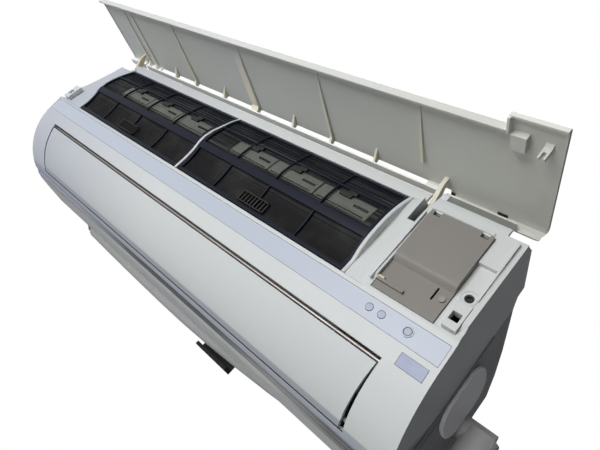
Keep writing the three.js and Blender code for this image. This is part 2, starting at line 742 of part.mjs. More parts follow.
// Cover plate on the right side where pipes may leave
function sidePlate() {
  const corner = (back, up, start) =>
    Array.from({ length: 6 }, (_, i) => {
      const a = start + (Math.PI / 2) * (i / 5);
      return [back + KNOCKOUT_CORNER * Math.cos(a), up + KNOCKOUT_CORNER * Math.sin(a)];
    });
  const near = KNOCKOUT_NEAR + KNOCKOUT_CORNER;
  const far = KNOCKOUT_FAR - KNOCKOUT_CORNER;
  const low = KNOCKOUT_FOOT + KNOCKOUT_CORNER;
  const high = KNOCKOUT_HEAD - KNOCKOUT_CORNER;
  const outline = [
    ...corner(far, high, 0),
    ...corner(near, high, Math.PI / 2),
    ...corner(near, low, Math.PI),
    ...corner(far, low, Math.PI * 1.5),
  ];
  const slope = SIDE_FLARE / (BODY_DEPTH - chassisStart);
  const start = HALF + GAP - slope * chassisStart;
  const lean = new THREE.Matrix4().set(slope, 0, 1, start, 1, 0, 0, 0, 0, 1, 0, 0, 0, 0, 0, 1);
  return sweep(outline, KNOCKOUT_PROUD, lean);
}
piece("side_knockout_cover", sidePlate(), MID_GREY);

// Intake panel
const panelInnerUp = PANEL_FACE_UP - PANEL_THICK;
const panelLine = [
  [PANEL_FREE_BACK + 0.3, PANEL_LIP_UP],
  [PANEL_FREE_BACK, PANEL_FACE_UP - 2.5],
  [PANEL_FREE_BACK + 0.8, PANEL_FACE_UP - 0.8],
  [PANEL_FREE_BACK + 2.5, PANEL_FACE_UP],
  [PANEL_EDGE_BACK, PANEL_FACE_UP],
];
const tabLine = [
  [PANEL_TAB_BACK + 0.3, PANEL_TAB_LIP_UP],
  [PANEL_TAB_BACK, PANEL_FACE_UP - 2.5],
  [PANEL_TAB_BACK + 3, PANEL_FACE_UP],
  [PANEL_EDGE_BACK - 12, PANEL_FACE_UP],
];
const endLine = [
  [PANEL_EDGE_BACK - 20, PANEL_FACE_UP],
  [PANEL_END_BACK - 12, PANEL_FACE_UP],
  [PANEL_END_BACK - 4, PANEL_FACE_UP - 2],
  [PANEL_END_BACK, PANEL_FACE_UP - 7],
  [PANEL_END_BACK, PANEL_HEEL_UP],
];
const ribShares = [-0.838, -0.78, -0.471, 0.293];
const SHORT_RIB_SHARE = 0.645;
const WIDE_RIB_SHARE = -0.088;
const CLOSED_LEFT_SHARE = -0.752;
const CLOSED_RIGHT_SHARE = 0.657;
const toothShares = [-0.614, -0.273, 0.118, 0.476];

const ribStart = [
  [PANEL_FREE_BACK + 5, panelInnerUp + 0.5],
  [PANEL_FREE_BACK + 8, panelInnerUp - 0.6],
  [PANEL_FREE_BACK + 45, panelInnerUp - RIB_HIGH * 0.7],
];

function panelRib(x, thick) {
  const outline = [
    ...ribStart,
    [PANEL_BAR_BACK - 6, panelInnerUp - RIB_HIGH],
    [PANEL_BAR_BACK + 1, PANEL_HEEL_UP + 0.5],
    [PANEL_BAR_BACK + 7, PANEL_HEEL_UP + 0.5],
    [PANEL_EDGE_BACK - 2, panelInnerUp + 0.5],
  ];
  return along(outline, x - thick / 2, x + thick / 2);
}

function shortRib(x) {
  const outline = [
    ...ribStart,
    [SHORT_RIB_HEEL - 3, panelInnerUp - RIB_HIGH],
    [SHORT_RIB_HEEL, panelInnerUp + 0.5],
  ];
  return along(outline, x - RIB_THICK / 2, x + RIB_THICK / 2);
}

function tooth(x) {
  const outline = [
    [PANEL_BAR_BACK - 16, panelInnerUp + 0.5],
    [PANEL_BAR_BACK + 1, PANEL_HEEL_UP + 0.5],
    [PANEL_BAR_BACK + 5, PANEL_HEEL_UP + 0.5],
    [PANEL_EDGE_BACK - 2, panelInnerUp + 0.5],
  ];
  return along(outline, x - TOOTH_THICK / 2, x + TOOTH_THICK / 2);
}

function roundedPlan() {
  const corner = (x, back, from) =>
    Array.from({ length: 6 }, (_, i) => {
      const a = from + (Math.PI / 2) * (i / 5);
      return [x + PANEL_CORNER * Math.cos(a), back + PANEL_CORNER * Math.sin(a)];
    });
  const x = HALF - PANEL_CORNER;
  return [
    ...corner(x, PANEL_END_BACK - PANEL_CORNER, 0),
    [-HALF, PANEL_END_BACK],
    [-HALF, PANEL_TAB_BACK - 4],
    [HALF - 2, PANEL_TAB_BACK - 4],
    [HALF, PANEL_TAB_BACK],
  ];
}

function intakePanel() {
  const skin = join(
    along(strip(panelLine, -PANEL_THICK), -HALF, PANEL_TAB_LEFT),
    along(strip(tabLine, -PANEL_THICK), PANEL_TAB_LEFT - PANEL_THICK, HALF),
    along(strip(endLine, -PANEL_THICK), ARM_RIGHT_X + SLOT_WIDE / 2, HALF),
  );
  const skirtFoot = PANEL_FACE_UP - PANEL_SKIRT;
  const endPlate = (x0, x1, edge, heel) => box(x0, x1, edge + 2, heel, skirtFoot, PANEL_FACE_UP - 0.5);
  const tabWall = box(PANEL_TAB_LEFT - PANEL_THICK, PANEL_TAB_LEFT, PANEL_TAB_BACK + 1,
    PANEL_FREE_BACK + 4, PANEL_LIP_UP, PANEL_FACE_UP - 3);
  const boss = box(BOSS_LEFT, BOSS_LEFT + BOSS_WIDE, BOSS_BACK, BOSS_BACK + BOSS_LONG,
    panelInnerUp - BOSS_HIGH, panelInnerUp + 0.5);
  const clipOutline = (reach) => [
    [CLIP_BACK - 5, panelInnerUp + 0.5],
    [CLIP_BACK - 2, panelInnerUp - 3],
    [CLIP_BACK - 1.5, panelInnerUp - reach],
    [CLIP_BACK + 1.5, panelInnerUp - reach],
    [CLIP_BACK + 4, panelInnerUp + 0.5],
  ];
  const clipSide = (x) => along(clipOutline(CLIP_REACH), x, x + 2);
  const clipRoot = along(clipOutline(CLIP_REACH / 2), CLIP_X - 3.5, CLIP_X + 3.5);
  const slotHalf = SLOT_WIDE / 2;
  const barHead = PANEL_HEEL_UP + PANEL_BAR_THICK;
  const bar = (x0, x1, more = 0) =>
    box(x0, x1, PANEL_BAR_BACK, PANEL_BAR_BACK + PANEL_BAR_WIDE + more, PANEL_HEEL_UP, barHead);
  const web = (x0, x1) =>
    box(x0, x1, PANEL_EDGE_BACK - 1.5, PANEL_EDGE_BACK, PANEL_HEEL_UP + 0.5, panelInnerUp + 0.5);
  const whole = join(
    skin,
    endPlate(-HALF, PANEL_THICK - HALF, PANEL_FREE_BACK, PANEL_EDGE_BACK - 2),
    endPlate(HALF - PANEL_THICK, HALF, PANEL_TAB_BACK, PANEL_END_BACK - 3),
    tabWall,
    ...ribShares.map((share) => panelRib(share * HALF, RIB_THICK)),
    panelRib(WIDE_RIB_SHARE * HALF, WIDE_RIB),
    shortRib(SHORT_RIB_SHARE * HALF),
    ...toothShares.map((share) => tooth(share * HALF)),
    boss,
    clipRoot,
    clipSide(CLIP_X - 3.5),
    clipSide(CLIP_X + 1.5),
    bar(-HALF, ARM_LEFT_X - slotHalf),
    bar(ARM_LEFT_X + slotHalf, ARM_RIGHT_X - slotHalf),
    bar(ARM_RIGHT_X + slotHalf, HALF - 27, 1.5),
    web(-HALF, ARM_LEFT_X - slotHalf),
    web(ARM_LEFT_X + slotHalf, CLOSED_LEFT_SHARE * HALF),
    web(CLOSED_RIGHT_SHARE * HALF, ARM_RIGHT_X - slotHalf),
  );
  return whole.intersect(upright(roundedPlan(), PANEL_HEEL_UP - 20, PANEL_FACE_UP + 2));
}
piece("intake_panel", intakePanel(), OFF_WHITE);

// Hinge arms and pins
function hingeArm(x) {
  const knuckle = rod([x - ARM_THICK / 2, HINGE_BACK, HINGE_UP], [x + ARM_THICK / 2, HINGE_BACK, HINGE_UP],
    ARM_KNUCKLE_R);
  const outline = [
    [HINGE_BACK - 21, panelInnerUp - GAP],
    [HINGE_BACK - 20, panelInnerUp - 12],
    [HINGE_BACK - 6, HINGE_UP - 1],
    [HINGE_BACK + 5, HINGE_UP - 3],
    [HINGE_BACK + 5, HINGE_UP + 5],
    [HINGE_BACK - 11, panelInnerUp - 10],
    [HINGE_BACK - 18, panelInnerUp - GAP],
  ];
  const arm = join(along(outline, x - ARM_THICK / 2, x + ARM_THICK / 2), knuckle);
  const reach = ARM_THICK;
  return cut(arm, rod([x - reach, HINGE_BACK, HINGE_UP], [x + reach, HINGE_BACK, HINGE_UP], PIN_R + GAP));
}
const hingePin = (x) =>
  rod([x - PIN_LONG / 2, HINGE_BACK, HINGE_UP], [x + PIN_LONG / 2, HINGE_BACK, HINGE_UP], PIN_R);
piece("panel_hinge_arm_left", hingeArm(ARM_LEFT_X), 0xcfc7a6);
piece("panel_hinge_arm_right", hingeArm(ARM_RIGHT_X), OFF_WHITE);
piece("panel_hinge_pin_left", hingePin(ARM_LEFT_X), STEEL, 0.3, 0.9);
piece("panel_hinge_pin_right", hingePin(ARM_RIGHT_X), STEEL, 0.3, 0.9);

// Latch catches
function catchRight() {
  const x0 = HALF - 20;
  const x1 = HALF - EDGE_RAIL_WIDE - GAP;
  const whole = box(x0, x1, -BLOCK_PROUD - 0.5, -COLUMN_PROUD - GAP, CATCH_RIM,
    CATCH_RIGHT_HEAD);
  return cut(whole, box(CLIP_X - 4.5, CLIP_X + 4.5, -FILTER_ROOM, FILTER_ROOM, CATCH_FOOT, CATCH_HEAD));
}
piece("latch_catch_right", catchRight(), OFF_WHITE);
function catchLeft() {
  const x0 = EDGE_RAIL_WIDE + GAP - HALF;
  const x1 = x0 + CATCH_LEFT_WIDE;
  const whole = box(x0, x1, -CATCH_LEFT_PROUD, borderLine[0][0] - GAP, CATCH_RIM, CATCH_LEFT_HEAD);
  const pocket = box(x0 + WALL, x1 - WALL * 2, -CATCH_LEFT_PROUD - 1, WALL, CATCH_FOOT, CATCH_HEAD);
  return cut(whole, pocket);
}
piece("latch_catch_left", catchLeft(), OFF_WHITE);

// Filters: a curved lattice with a thin mesh sheet behind it
const filterLine = [
  [1.5, OPENING_FOOT + 0.6],
  [1.2, TOP_UP * 0.15],
  [-1.3, TOP_UP * 0.28],
  [-4.6, TOP_UP * 0.38],
  [-5.6, TOP_UP * 0.48],
  [-4.6, TOP_UP * 0.59],
  [-1, TOP_UP * 0.73],
  [4, TOP_UP * 0.87],
  [9.6, TOP_UP * 0.963],
];
const meshLine = strip(filterLine, -FILTER_THICK - GAP)
  .slice(filterLine.length)
  .reverse();

function filterFrame(x0, x1) {
  const sheet = along(strip(filterLine, -FILTER_THICK), x0, x1);
  const columns = 4;
  const rows = [
    [OPENING_FOOT + FILTER_BAR, WIDE_BAR_FOOT],
    [WIDE_BAR_HEAD, TOP_UP * 0.72],
    [TOP_UP * 0.72 + FILTER_RIB, TOP_UP * 0.93],
  ];
  const wide = (x1 - x0) / columns;
  const holes = [];
  for (let i = 0; i < columns; i++) {
    const a = x0 + wide * i + (i ? FILTER_RIB / 2 : FILTER_BAR);
    const b = x0 + wide * (i + 1) - (i < columns - 1 ? FILTER_RIB / 2 : FILTER_BAR);
    rows.forEach(([foot, head]) => holes.push(box(a, b, -FILTER_ROOM, FILTER_ROOM, foot, head)));
  }
  const gripX = x0 + wide * 1.95;
  const grip = along([[-1.5, 12], [0.9, 9], [2.6, 9], [2.6, 26], [-1.5, 24]], gripX - 18, gripX + 18);
  const comb = [-10, 0, 10].map((dx) =>
    box(gripX + dx - 1.5, gripX + dx + 1.5, -3, 1.3, 8, 28));
  return join(cut(sheet, ...holes), cut(grip, ...comb), box(gripX - 18, gripX + 18, 1.2, 3, 7, 26));
}
const filterSpans = [
  ["left", OPENING_LEFT + GAP, OPENING_MID - DIVIDER_WIDE / 2 - GAP],
  ["right", OPENING_MID + DIVIDER_WIDE / 2 + GAP, OPENING_RIGHT - GAP],
];
filterSpans.forEach(([side, x0, x1]) => {
  piece("filter_frame_" + side, filterFrame(x0, x1), NEAR_BLACK);
  const sheet = along(strip(meshLine, -MESH_THICK), x0 + 1, x1 - 1);
  piece("filter_mesh_" + side, sheet, 0x23252c, 0.8);
});

// Air cleaning cassettes close behind the mesh, above the wide bar
const cassetteLine = [
  [-1, TOP_UP * 0.486],
  [0.2, TOP_UP * 0.6],
  [3.4, TOP_UP * 0.71],
];
const cassetteShares = { left: [0.176, 0.443, 0.711], right: [0.153, 0.42, 0.687] };

function cassette(x0) {
  const x1 = x0 + CASSETTE_WIDE;
  const hollow = cassetteLine.map(([back, up]) => [back + CASSETTE_SKIN, up]);
  const [foot, head] = [cassetteLine[0][1] + CASSETTE_RIM, cassetteLine[2][1] - CASSETTE_RIM];
  const inside = along(strip(hollow, -CASSETTE_DEEP * 2), x0 + CASSETTE_RIM, x1 - CASSETTE_RIM);
  const room = box(x0, x1, -CASSETTE_WIDE, CASSETTE_WIDE, foot, head);
  return cut(along(strip(cassetteLine, -CASSETTE_DEEP), x0, x1), inside.intersect(room));
}
filterSpans.forEach(([side, x0, x1], row) => {
  cassetteShares[side].forEach((share, i) => {
    piece("air_cleaner_cassette_" + (row * 3 + i + 1), cassette(x0 + share * (x1 - x0)), 0xb9bcb4);
  });
});

// Heat exchanger: three finned blocks between two end plates, with tube bends at the right
const coilRuns = {
  coil_front_lower: [[33, -20], [33, 47]],
  coil_front_upper: [[35, 59], [80, 98]],
  coil_rear: [[101, 87], [164, 25]],
};

function coilOutline([from, to], half) {
  const [a, b] = unit(from, to);
  return [
    [from[0] + b * half, from[1] - a * half],
    [to[0] + b * half, to[1] - a * half],
    [to[0] - b * half, to[1] + a * half],
    [from[0] - b * half, from[1] + a * half],
  ];
}
Object.entries(coilRuns).forEach(([name, run]) => {
  const core = along(coilOutline(run, COIL_HALF_THICK - FIN_PROUD), COIL_LEFT, COIL_RIGHT);
  const pitch = (COIL_RIGHT - COIL_LEFT) / FIN_COUNT;
  const fins = Array.from({ length: FIN_COUNT + 1 }, (_, i) => {
    const x = COIL_LEFT + pitch * i;
    const half = pitch * 0.3;
    return along(coilOutline(run, COIL_HALF_THICK), Math.max(x - half, COIL_LEFT - 0.5),
      Math.min(x + half, COIL_RIGHT + 0.5));
  });
  piece(name, join(core, ...fins), ALUMINIUM, 0.45, 0.6);
});

function endPlate(x0, x1) {
  const runs = Object.values(coilRuns);
  const half = COIL_HALF_THICK + 1.5;
  const arms = runs.map((run) => along(coilOutline(run, half), x0, x1));
  const links = [
    along([[27, -27.5], [39, -27.5], [39, -15], [27, -15]], x0, x1),
    along([[22, 44], [46, 44], [48, 62], [26, 68]], x0, x1),
    along([[70, 104], [82, 90], [96, 80], [110, 92]], x0, x1),
  ];
  return join(...arms, ...links);
}
piece(
  "coil_end_plate_left",
  endPlate(COIL_LEFT - 0.9 - END_PLATE_THICK, COIL_LEFT - 0.9),
  ALUMINIUM,
  0.4,
  0.7,
);

function bendPlate() {
  const x = COIL_RIGHT + 0.9 + END_PLATE_THICK;
  const bends = Object.values(coilRuns).flatMap(([from, to]) =>
    [0.12, 0.6].map((share) => {
      const spot = (s, dx) => [x + dx, from[0] + (to[0] - from[0]) * s, from[1] + (to[1] - from[1]) * s];
      const next = share + 0.26;
      return join(
        rod(spot(share, -1), spot(share, BEND_REACH), BEND_TUBE_R, 8),
        rod(spot(next, -1), spot(next, BEND_REACH), BEND_TUBE_R, 8),
        rod(spot(share - 0.03, BEND_REACH - 1), spot(next + 0.03, BEND_REACH - 1), BEND_TUBE_R, 8),
      );
    }));
  return join(endPlate(x - END_PLATE_THICK, x), ...bends);
}
piece("coil_end_plate_right", bendPlate(), COPPER, 0.35, 0.9);

// Fan drum with blades, its motor and the far bearing
function fan() {
  const discs = Array.from({ length: FAN_RINGS }, (_, i) => {
    const x = FAN_LEFT + ((FAN_RIGHT - FAN_LEFT - DISC_THICK) * i) / (FAN_RINGS - 1);
    const from = [x, FAN_BACK, FAN_UP];
    const to = [x + DISC_THICK, FAN_BACK, FAN_UP];
    const end = i === 0 || i === FAN_RINGS - 1;
    return end ? rod(from, to, FAN_R, 28) : ring(from, to, FAN_R, FAN_R - FAN_RING_WIDE - 1, 28);
  });
  const blades = Array.from({ length: FAN_BLADES }, (_, i) => {
    const a = (Math.PI * 2 * i) / FAN_BLADES;
    const b = a + angle(BLADE_LEAN) * (FAN_RING_WIDE / FAN_R);
    const inner = FAN_R - FAN_RING_WIDE;
    const outer = FAN_R - 0.6;
    const line = [
      [FAN_BACK + inner * Math.cos(a), FAN_UP + inner * Math.sin(a)],
      [FAN_BACK + outer * Math.cos(b), FAN_UP + outer * Math.sin(b)],
    ];
    return along(strip(line, BLADE_THICK), FAN_LEFT + 1, FAN_RIGHT - 1);
  });
  const hub = rod([FAN_RIGHT - 16, FAN_BACK, FAN_UP], [FAN_RIGHT, FAN_BACK, FAN_UP], HUB_R);
  const bore = rod([FAN_RIGHT - 12, FAN_BACK, FAN_UP], [FAN_RIGHT + 4, FAN_BACK, FAN_UP], SHAFT_R + GAP);
  const stub = rod([FAN_LEFT - BEARING_LONG - 1, FAN_BACK, FAN_UP], [FAN_LEFT + 1, FAN_BACK, FAN_UP],
    SHAFT_R);
  return cut(join(...discs, ...blades, hub, stub), bore);
}
piece("cross_flow_fan", fan(), 0x3a3c40);
const motorEnd = MOTOR_LEFT + MOTOR_LONG;
piece(
  "fan_motor",
  join(
    rod([MOTOR_LEFT, FAN_BACK, FAN_UP], [motorEnd, FAN_BACK, FAN_UP], MOTOR_R, 28),
    rod([MOTOR_LEFT - 14, FAN_BACK, FAN_UP], [MOTOR_LEFT + 1, FAN_BACK, FAN_UP], SHAFT_R),
    rod([motorEnd - 1, FAN_BACK, FAN_UP], [motorEnd + 6, FAN_BACK, FAN_UP], HUB_R),
  ),
  STEEL,
  0.4,
  0.5,
);
const bearingX = CHEEK_LEFT + CHEEK_THICK + GAP;
piece(
  "fan_bearing",
  ring([bearingX, FAN_BACK, FAN_UP], [bearingX + BEARING_LONG, FAN_BACK, FAN_UP], BEARING_R, SHAFT_R + GAP),
  0x2b2b2d,
);

// Drain pan under the front coil; its underside is the upper wall of the air duct
const panOutside = [
  [15, -14],
  [15, -40],
  [40, -44],
  [72, -52],
  [74, -48],
  [60, -34],
  [58, -14],
];
const panInside = [
  [17.5, -10],
  [17.5, -28],
  [55, -28],
  [55, -10],
];
const panRight = BLOCK_LEFT - 4;
piece(
  "drain_pan",
  cut(along(panOutside, CHEEK_LEFT + CHEEK_THICK + GAP, panRight),
    along(panInside, CHEEK_LEFT + CHEEK_THICK + 4, panRight - 3)),
  FOAM,
  0.8,
);
const hoseStart = HALF - 20;
piece(
  "drain_hose",
  join(
    rod([hoseStart, HOSE_BACK, HOSE_UP], [HOSE_X + HOSE_R - 1, HOSE_BACK, HOSE_UP], HOSE_R, 24),
    rod([HOSE_X, HOSE_BACK, SLEEVE_HEAD], [HOSE_X, HOSE_BACK, HOSE_FOOT], SLEEVE_R, 28),
  ),
  MID_GREY,
  0.7,
);

// Electrical box, what it holds, and its cover
const boxLeft = BAY_LEFT + GAP;
const boxRight = BAY_RIGHT - GAP;
function electricalBox() {
  const outer = box(boxLeft, boxRight, BOX_FRONT, BOX_REAR, BOX_FOOT, BOX_HEAD);
  const inner = box(boxLeft + BOX_SKIN, boxRight - BOX_SKIN, BOX_FRONT - 4, BOX_REAR - BOX_SKIN,
    BOX_FOOT + BOX_SKIN, BOX_HEAD - BOX_SKIN);
  const posts = [boxLeft + 8, boxRight - 8].flatMap((x) =>
    [BOX_FOOT + 12, BOX_HEAD - 12].map((up) =>
      rod([x, BOARD_BACK + BOARD_THICK + GAP, up], [x, BOX_REAR - 1, up], 3, 12)));
  return join(cut(outer, inner), ...posts);
}
piece("electrical_box", electricalBox(), 0x55575b);

function circuitBoard() {
  const x = (share) => boxLeft + BOX_SKIN + share * (boxRight - boxLeft - 2 * BOX_SKIN);
  const up = (share) => BOX_FOOT + BOX_SKIN + share * (BOX_HEAD - BOX_FOOT - 2 * BOX_SKIN);
  const front = BOARD_BACK;
  return join(
    box(x(0.03), x(0.97), front, front + BOARD_THICK, up(0.03), up(0.97)),
    box(x(0.1), x(0.32), front - 15, front + 1, up(0.42), up(0.55)),
    box(x(0.1), x(0.32), front - 15, front + 1, up(0.58), up(0.7)),
    box(x(0.45), x(0.6), front - 3, front + 1, up(0.45), up(0.65)),
    rod([x(0.8), front - 22, up(0.5)], [x(0.8), front + 1, up(0.5)], 6, 16),
    rod([x(0.8), front - 16, up(0.65)], [x(0.8), front + 1, up(0.65)], 4, 16),
  );
}
piece("circuit_board", circuitBoard(), 0x2f6b45);

function terminalBlock() {
  const back = BOARD_BACK - GAP;
  const body = box(boxLeft + 10, boxRight - 10, back - 16, back, BOX_HEAD - 30, BOX_HEAD - 12);
  const cells = [0.2, 0.4, 0.6, 0.8].map((share) => {
    const x = boxLeft + 10 + share * (boxRight - boxLeft - 20);
    return box(x - 3.5, x + 3.5, back - 18, back - 8, BOX_HEAD - 27, BOX_HEAD - 15);
  });
  return cut(body, ...cells);
}
piece("terminal_block", terminalBlock(), NEAR_BLACK);

function transformer() {
  const back = BOARD_BACK - GAP;
  const foot = BOX_FOOT + 10;
  return join(
    box(boxLeft + 14, boxRight - 18, back - 26, back, foot + 4, foot + 24),
    box(boxLeft + 19, boxRight - 23, back - 30, back - 1, foot, foot + 28),
  );
}
piece("transformer", transformer(), 0x8a6a45);

function electronicsCover() {
  const x0 = BAY_LEFT + GAP;
  const x1 = BAY_RIGHT - GAP;
  const foot = BLOCK_FOOT_UP - 1.4;
  const head = BAY_HEAD - GAP;
  const line = [
    [-COVER_LOW_PROUD, foot],
    [-COVER_LOW_PROUD, COVER_STEP_UP - 4],
    [-COVER_PROUD + 2, COVER_STEP_UP],
    [-COVER_PROUD, COVER_STEP_UP + 4],
    [-COVER_PROUD, head],
  ];
  const skin = along(strip(line, -COVER_SKIN), x0, x1);
  const side = [...line, [3, head], [3, foot]];
  const sides = join(along(side, x0, x0 + 1.8), along(side, x1 - 1.8, x1));
  const topWall = box(x0, x1, -COVER_PROUD + 1, 3, head - 2, head);
  const rib = box(x0 + 1, x0 + 30, -COVER_LOW_PROUD - 3.5, -COVER_LOW_PROUD + 1, 11.5, 14.5);
  const slit = box(BAY_RIGHT - 15.5, BAY_RIGHT - 13.5, -20, 8, 22, 36);
  const notch = (x) => box(x - 4, x + 4, -20, -COVER_PROUD + 5, head - 6, head + 2);
  const screwHole = rod([BAY_RIGHT - 6, -20, 27], [BAY_RIGHT - 6, 8, 27], 1.9, 16);
  return cut(join(skin, sides, topWall, rib), slit, notch(x0 + 8), notch(x1 - 8), screwHole);
}
piece("electronics_cover", electronicsCover(), WARM_GREY);
const screw = (x, back, up, long) =>
  join(
    rod([x, back - 1.4, up], [x, back, up], 3, 16),
    rod([x, back - 0.5, up], [x, back + long, up], 1.5, 12),
  );
piece("cover_screw", screw(BAY_RIGHT - 6, -COVER_LOW_PROUD - GAP, 27, 8), STEEL, 0.3, 0.9);
piece("shell_screw", screw(WELL_X, WELL_FLOOR - GAP, WELL_UP, 8), STEEL, 0.3, 0.9);

// Air flap, its motor, the inner louver and the metal bar across the outlet
function airFlap() {
  const arc = [
    ...bellyArc(FLAP_HEAD_ANGLE, FLAP_FOOT_ANGLE, 0, 10),
    ...bellyArc(FLAP_FOOT_ANGLE, FLAP_HEAD_ANGLE, FLAP_THICK, 10),
  ];
  const x0 = OUTLET_LEFT + FLAP_END_GAP;
  const x1 = OUTLET_RIGHT - 2;
  const [, head] = belly(FLAP_HEAD_ANGLE);
  const [, foot] = belly(FLAP_FOOT_ANGLE);
  const slant = through([[x1, head + 1], [x1 - FLAP_SLANT, foot - 1], [x1 + 8, foot - 1], [x1 + 8, head + 1]],
    -4, BELLY_BACK - 30);
  const skin = cut(along(arc, x0, x1), slant);
  const ear = [
    belly(FLAP_FOOT_ANGLE - 4, 1),
    belly(FLAP_FOOT_ANGLE, 1),
    [FLAP_AXIS_BACK + 3.4, FLAP_AXIS_UP - 1],
    [FLAP_AXIS_BACK + 2, FLAP_AXIS_UP + 3.4],
    [FLAP_AXIS_BACK - 3, FLAP_AXIS_UP + 3.4],
  ];
  const earRight = x1 - FLAP_SLANT - 1;
  const pin = (from, to) =>
    rod([from, FLAP_AXIS_BACK, FLAP_AXIS_UP], [to, FLAP_AXIS_BACK, FLAP_AXIS_UP], FLAP_PIN_R);
  return join(
    skin,
    along(ear, x0, x0 + FLAP_EAR_WIDE),
    along(ear, earRight - FLAP_EAR_WIDE, earRight),
    pin(CHEEK_LEFT + 0.5, x0 + 1),
    pin(earRight - 1, CHEEK_RIGHT + CHEEK_THICK - 0.3),
  );
}
piece("air_flap", airFlap(), OFF_WHITE);
const flapMotorX = CHEEK_RIGHT + CHEEK_THICK + GAP;
piece(
  "flap_motor",
  join(
    rod([flapMotorX, FLAP_AXIS_BACK + 10, FLAP_AXIS_UP + 10],
      [flapMotorX + 14, FLAP_AXIS_BACK + 10, FLAP_AXIS_UP + 10], 10),
    box(flapMotorX, flapMotorX + 4, FLAP_AXIS_BACK, FLAP_AXIS_BACK + 20, FLAP_AXIS_UP + 8,
      FLAP_AXIS_UP + 26),
  ),
  STEEL,
  0.4,
  0.5,
);

function innerLouver() {
  const half = LOUVER_HALF * Math.SQRT1_2;
  const line = [
    [LOUVER_BACK - half, LOUVER_UP + half],
    [LOUVER_BACK - 1, LOUVER_UP - 1],
    [LOUVER_BACK + half, LOUVER_UP - half],
  ];
  const blade = along(strip(line, LOUVER_THICK), OUTLET_LEFT + 3, OUTLET_RIGHT - 3);
  const pin = (from, to) =>
    rod([from, LOUVER_BACK, LOUVER_UP], [to, LOUVER_BACK, LOUVER_UP], LOUVER_PIN_R);
  return join(
    blade,
    pin(CHEEK_LEFT + 0.5, OUTLET_LEFT + 6),
    pin(OUTLET_RIGHT - 6, CHEEK_RIGHT + CHEEK_THICK - 0.3),
  );
}
piece("inner_louver", innerLouver(), 0x9a9ca0);
piece(
  "outlet_trim_bar",
  rod([CHEEK_LEFT + CHEEK_THICK + GAP, TRIM_BAR_BACK, TRIM_BAR_UP],
    [CHEEK_RIGHT - GAP, TRIM_BAR_BACK, TRIM_BAR_UP], TRIM_BAR_R, 16),
  ALUMINIUM,
  0.3,
  0.9,
);

// Upright vanes in the duct and the bar that links them
const VANE_BACK = 92;
const VANE_FOOT = -103;
const VANE_HEAD = -72;
const VANE_HALF = 14;
const VANE_THICK = 2;
const vaneShares = [-0.8, -0.48, -0.16, 0.16, 0.48, 0.8];
const ductMid = (OUTLET_LEFT + OUTLET_RIGHT) / 2;
const ductHalf = (OUTLET_RIGHT - OUTLET_LEFT) / 2;
vaneShares.forEach((share, i) => {
  const x = ductMid + share * ductHalf;
  const blade = along(
    [[VANE_BACK - VANE_HALF, VANE_FOOT + 4], [VANE_BACK - VANE_HALF + 4, VANE_FOOT],
      [VANE_BACK + VANE_HALF, VANE_FOOT], [VANE_BACK + VANE_HALF, VANE_HEAD],
      [VANE_BACK - VANE_HALF + 4, VANE_HEAD]],
    x - VANE_THICK / 2, x + VANE_THICK / 2,
  );
  const pin = rod([x, VANE_BACK, VANE_FOOT - 2.5], [x, VANE_BACK, VANE_HEAD - 1], 1.8, 12);
  piece("air_vane_" + (i + 1), join(blade, pin), 0xc9cac6);
});
const linkBack = VANE_BACK + VANE_HALF - 1;
const linkEnd = ductHalf * 0.8 + 8;
piece(
  "vane_link_bar",
  box(ductMid - linkEnd, ductMid + linkEnd, linkBack - 3, linkBack, VANE_HEAD + GAP, VANE_HEAD + 3),
  0xc9cac6,
);

// Wall plate
function wallPlate() {
  const rear = BODY_DEPTH;
  const front = rear - PLATE_THICK;
  const sheet = box(-PLATE_HALF_WIDE, PLATE_HALF_WIDE, front, rear, PLATE_FOOT, PLATE_HEAD);
  const windows = [-0.62, 0, 0.62].map((share) => {
    const x = share * PLATE_HALF_WIDE;
    return box(x - 62, x + 62, front - 1, rear + 1, PLATE_WINDOW_FOOT, PLATE_WINDOW_HEAD);
  });
  const holes = [-0.92, -0.3, 0.3, 0.92].flatMap((share) =>
    [PLATE_FOOT + 12, PLATE_HEAD - 12].map((up) =>
      rod([share * PLATE_HALF_WIDE, front - 1, up], [share * PLATE_HALF_WIDE, rear + 1, up], 3, 12)));
  const hook = (x) =>
    along([[front + 0.5, PLATE_HEAD - 6], [front - 6.6, PLATE_HEAD - 6], [front - 6.6, PLATE_HEAD],
      [front - 5, PLATE_HEAD], [front - 5, PLATE_HEAD - 4], [front + 0.5, PLATE_HEAD - 4]],
      x - 20, x + 20);
  const rib = box(-PLATE_HALF_WIDE + 20, PLATE_HALF_WIDE - 20, front - 3, front + 0.5, PLATE_FOOT,
    PLATE_FOOT + 3);
  return join(cut(sheet, ...windows, ...holes), hook(-250), hook(0), hook(250), rib);
}
piece("wall_plate", wallPlate(), STEEL, 0.5, 0.7);

// Insulated pipes in the channel under the back, their nuts and the clamp
const gasLine = [
  [-300, GAS_PIPE_BACK, -117],
  [-180, GAS_PIPE_BACK, -119],
  [27, GAS_PIPE_BACK, -119],
  [163, GAS_PIPE_BACK - 1.3, -112],
  [260, GAS_PIPE_BACK - 5.3, -104],
  [318, GAS_PIPE_BACK - 9.3, -101],
];
const liquidLine = [
  [-312, LIQUID_PIPE_BACK, -100],
  [-180, LIQUID_PIPE_BACK, -104],
  [40, LIQUID_PIPE_BACK, -106],
  [180, LIQUID_PIPE_BACK, -97],
];
piece("gas_pipe", tube(gasLine, GAS_PIPE_R, 8, 10), 0x8c8e90, 0.85);
piece("liquid_pipe", tube(liquidLine, LIQUID_PIPE_R, 6, 8), 0x9a9b98, 0.85);
const nut = (start, radius, bore) => {
  const end = [start[0] - 18, start[1], start[2]];
  return join(rod(start, end, radius, 6), rod(start, [start[0] - 26, start[1], start[2]], bore, 16));
};
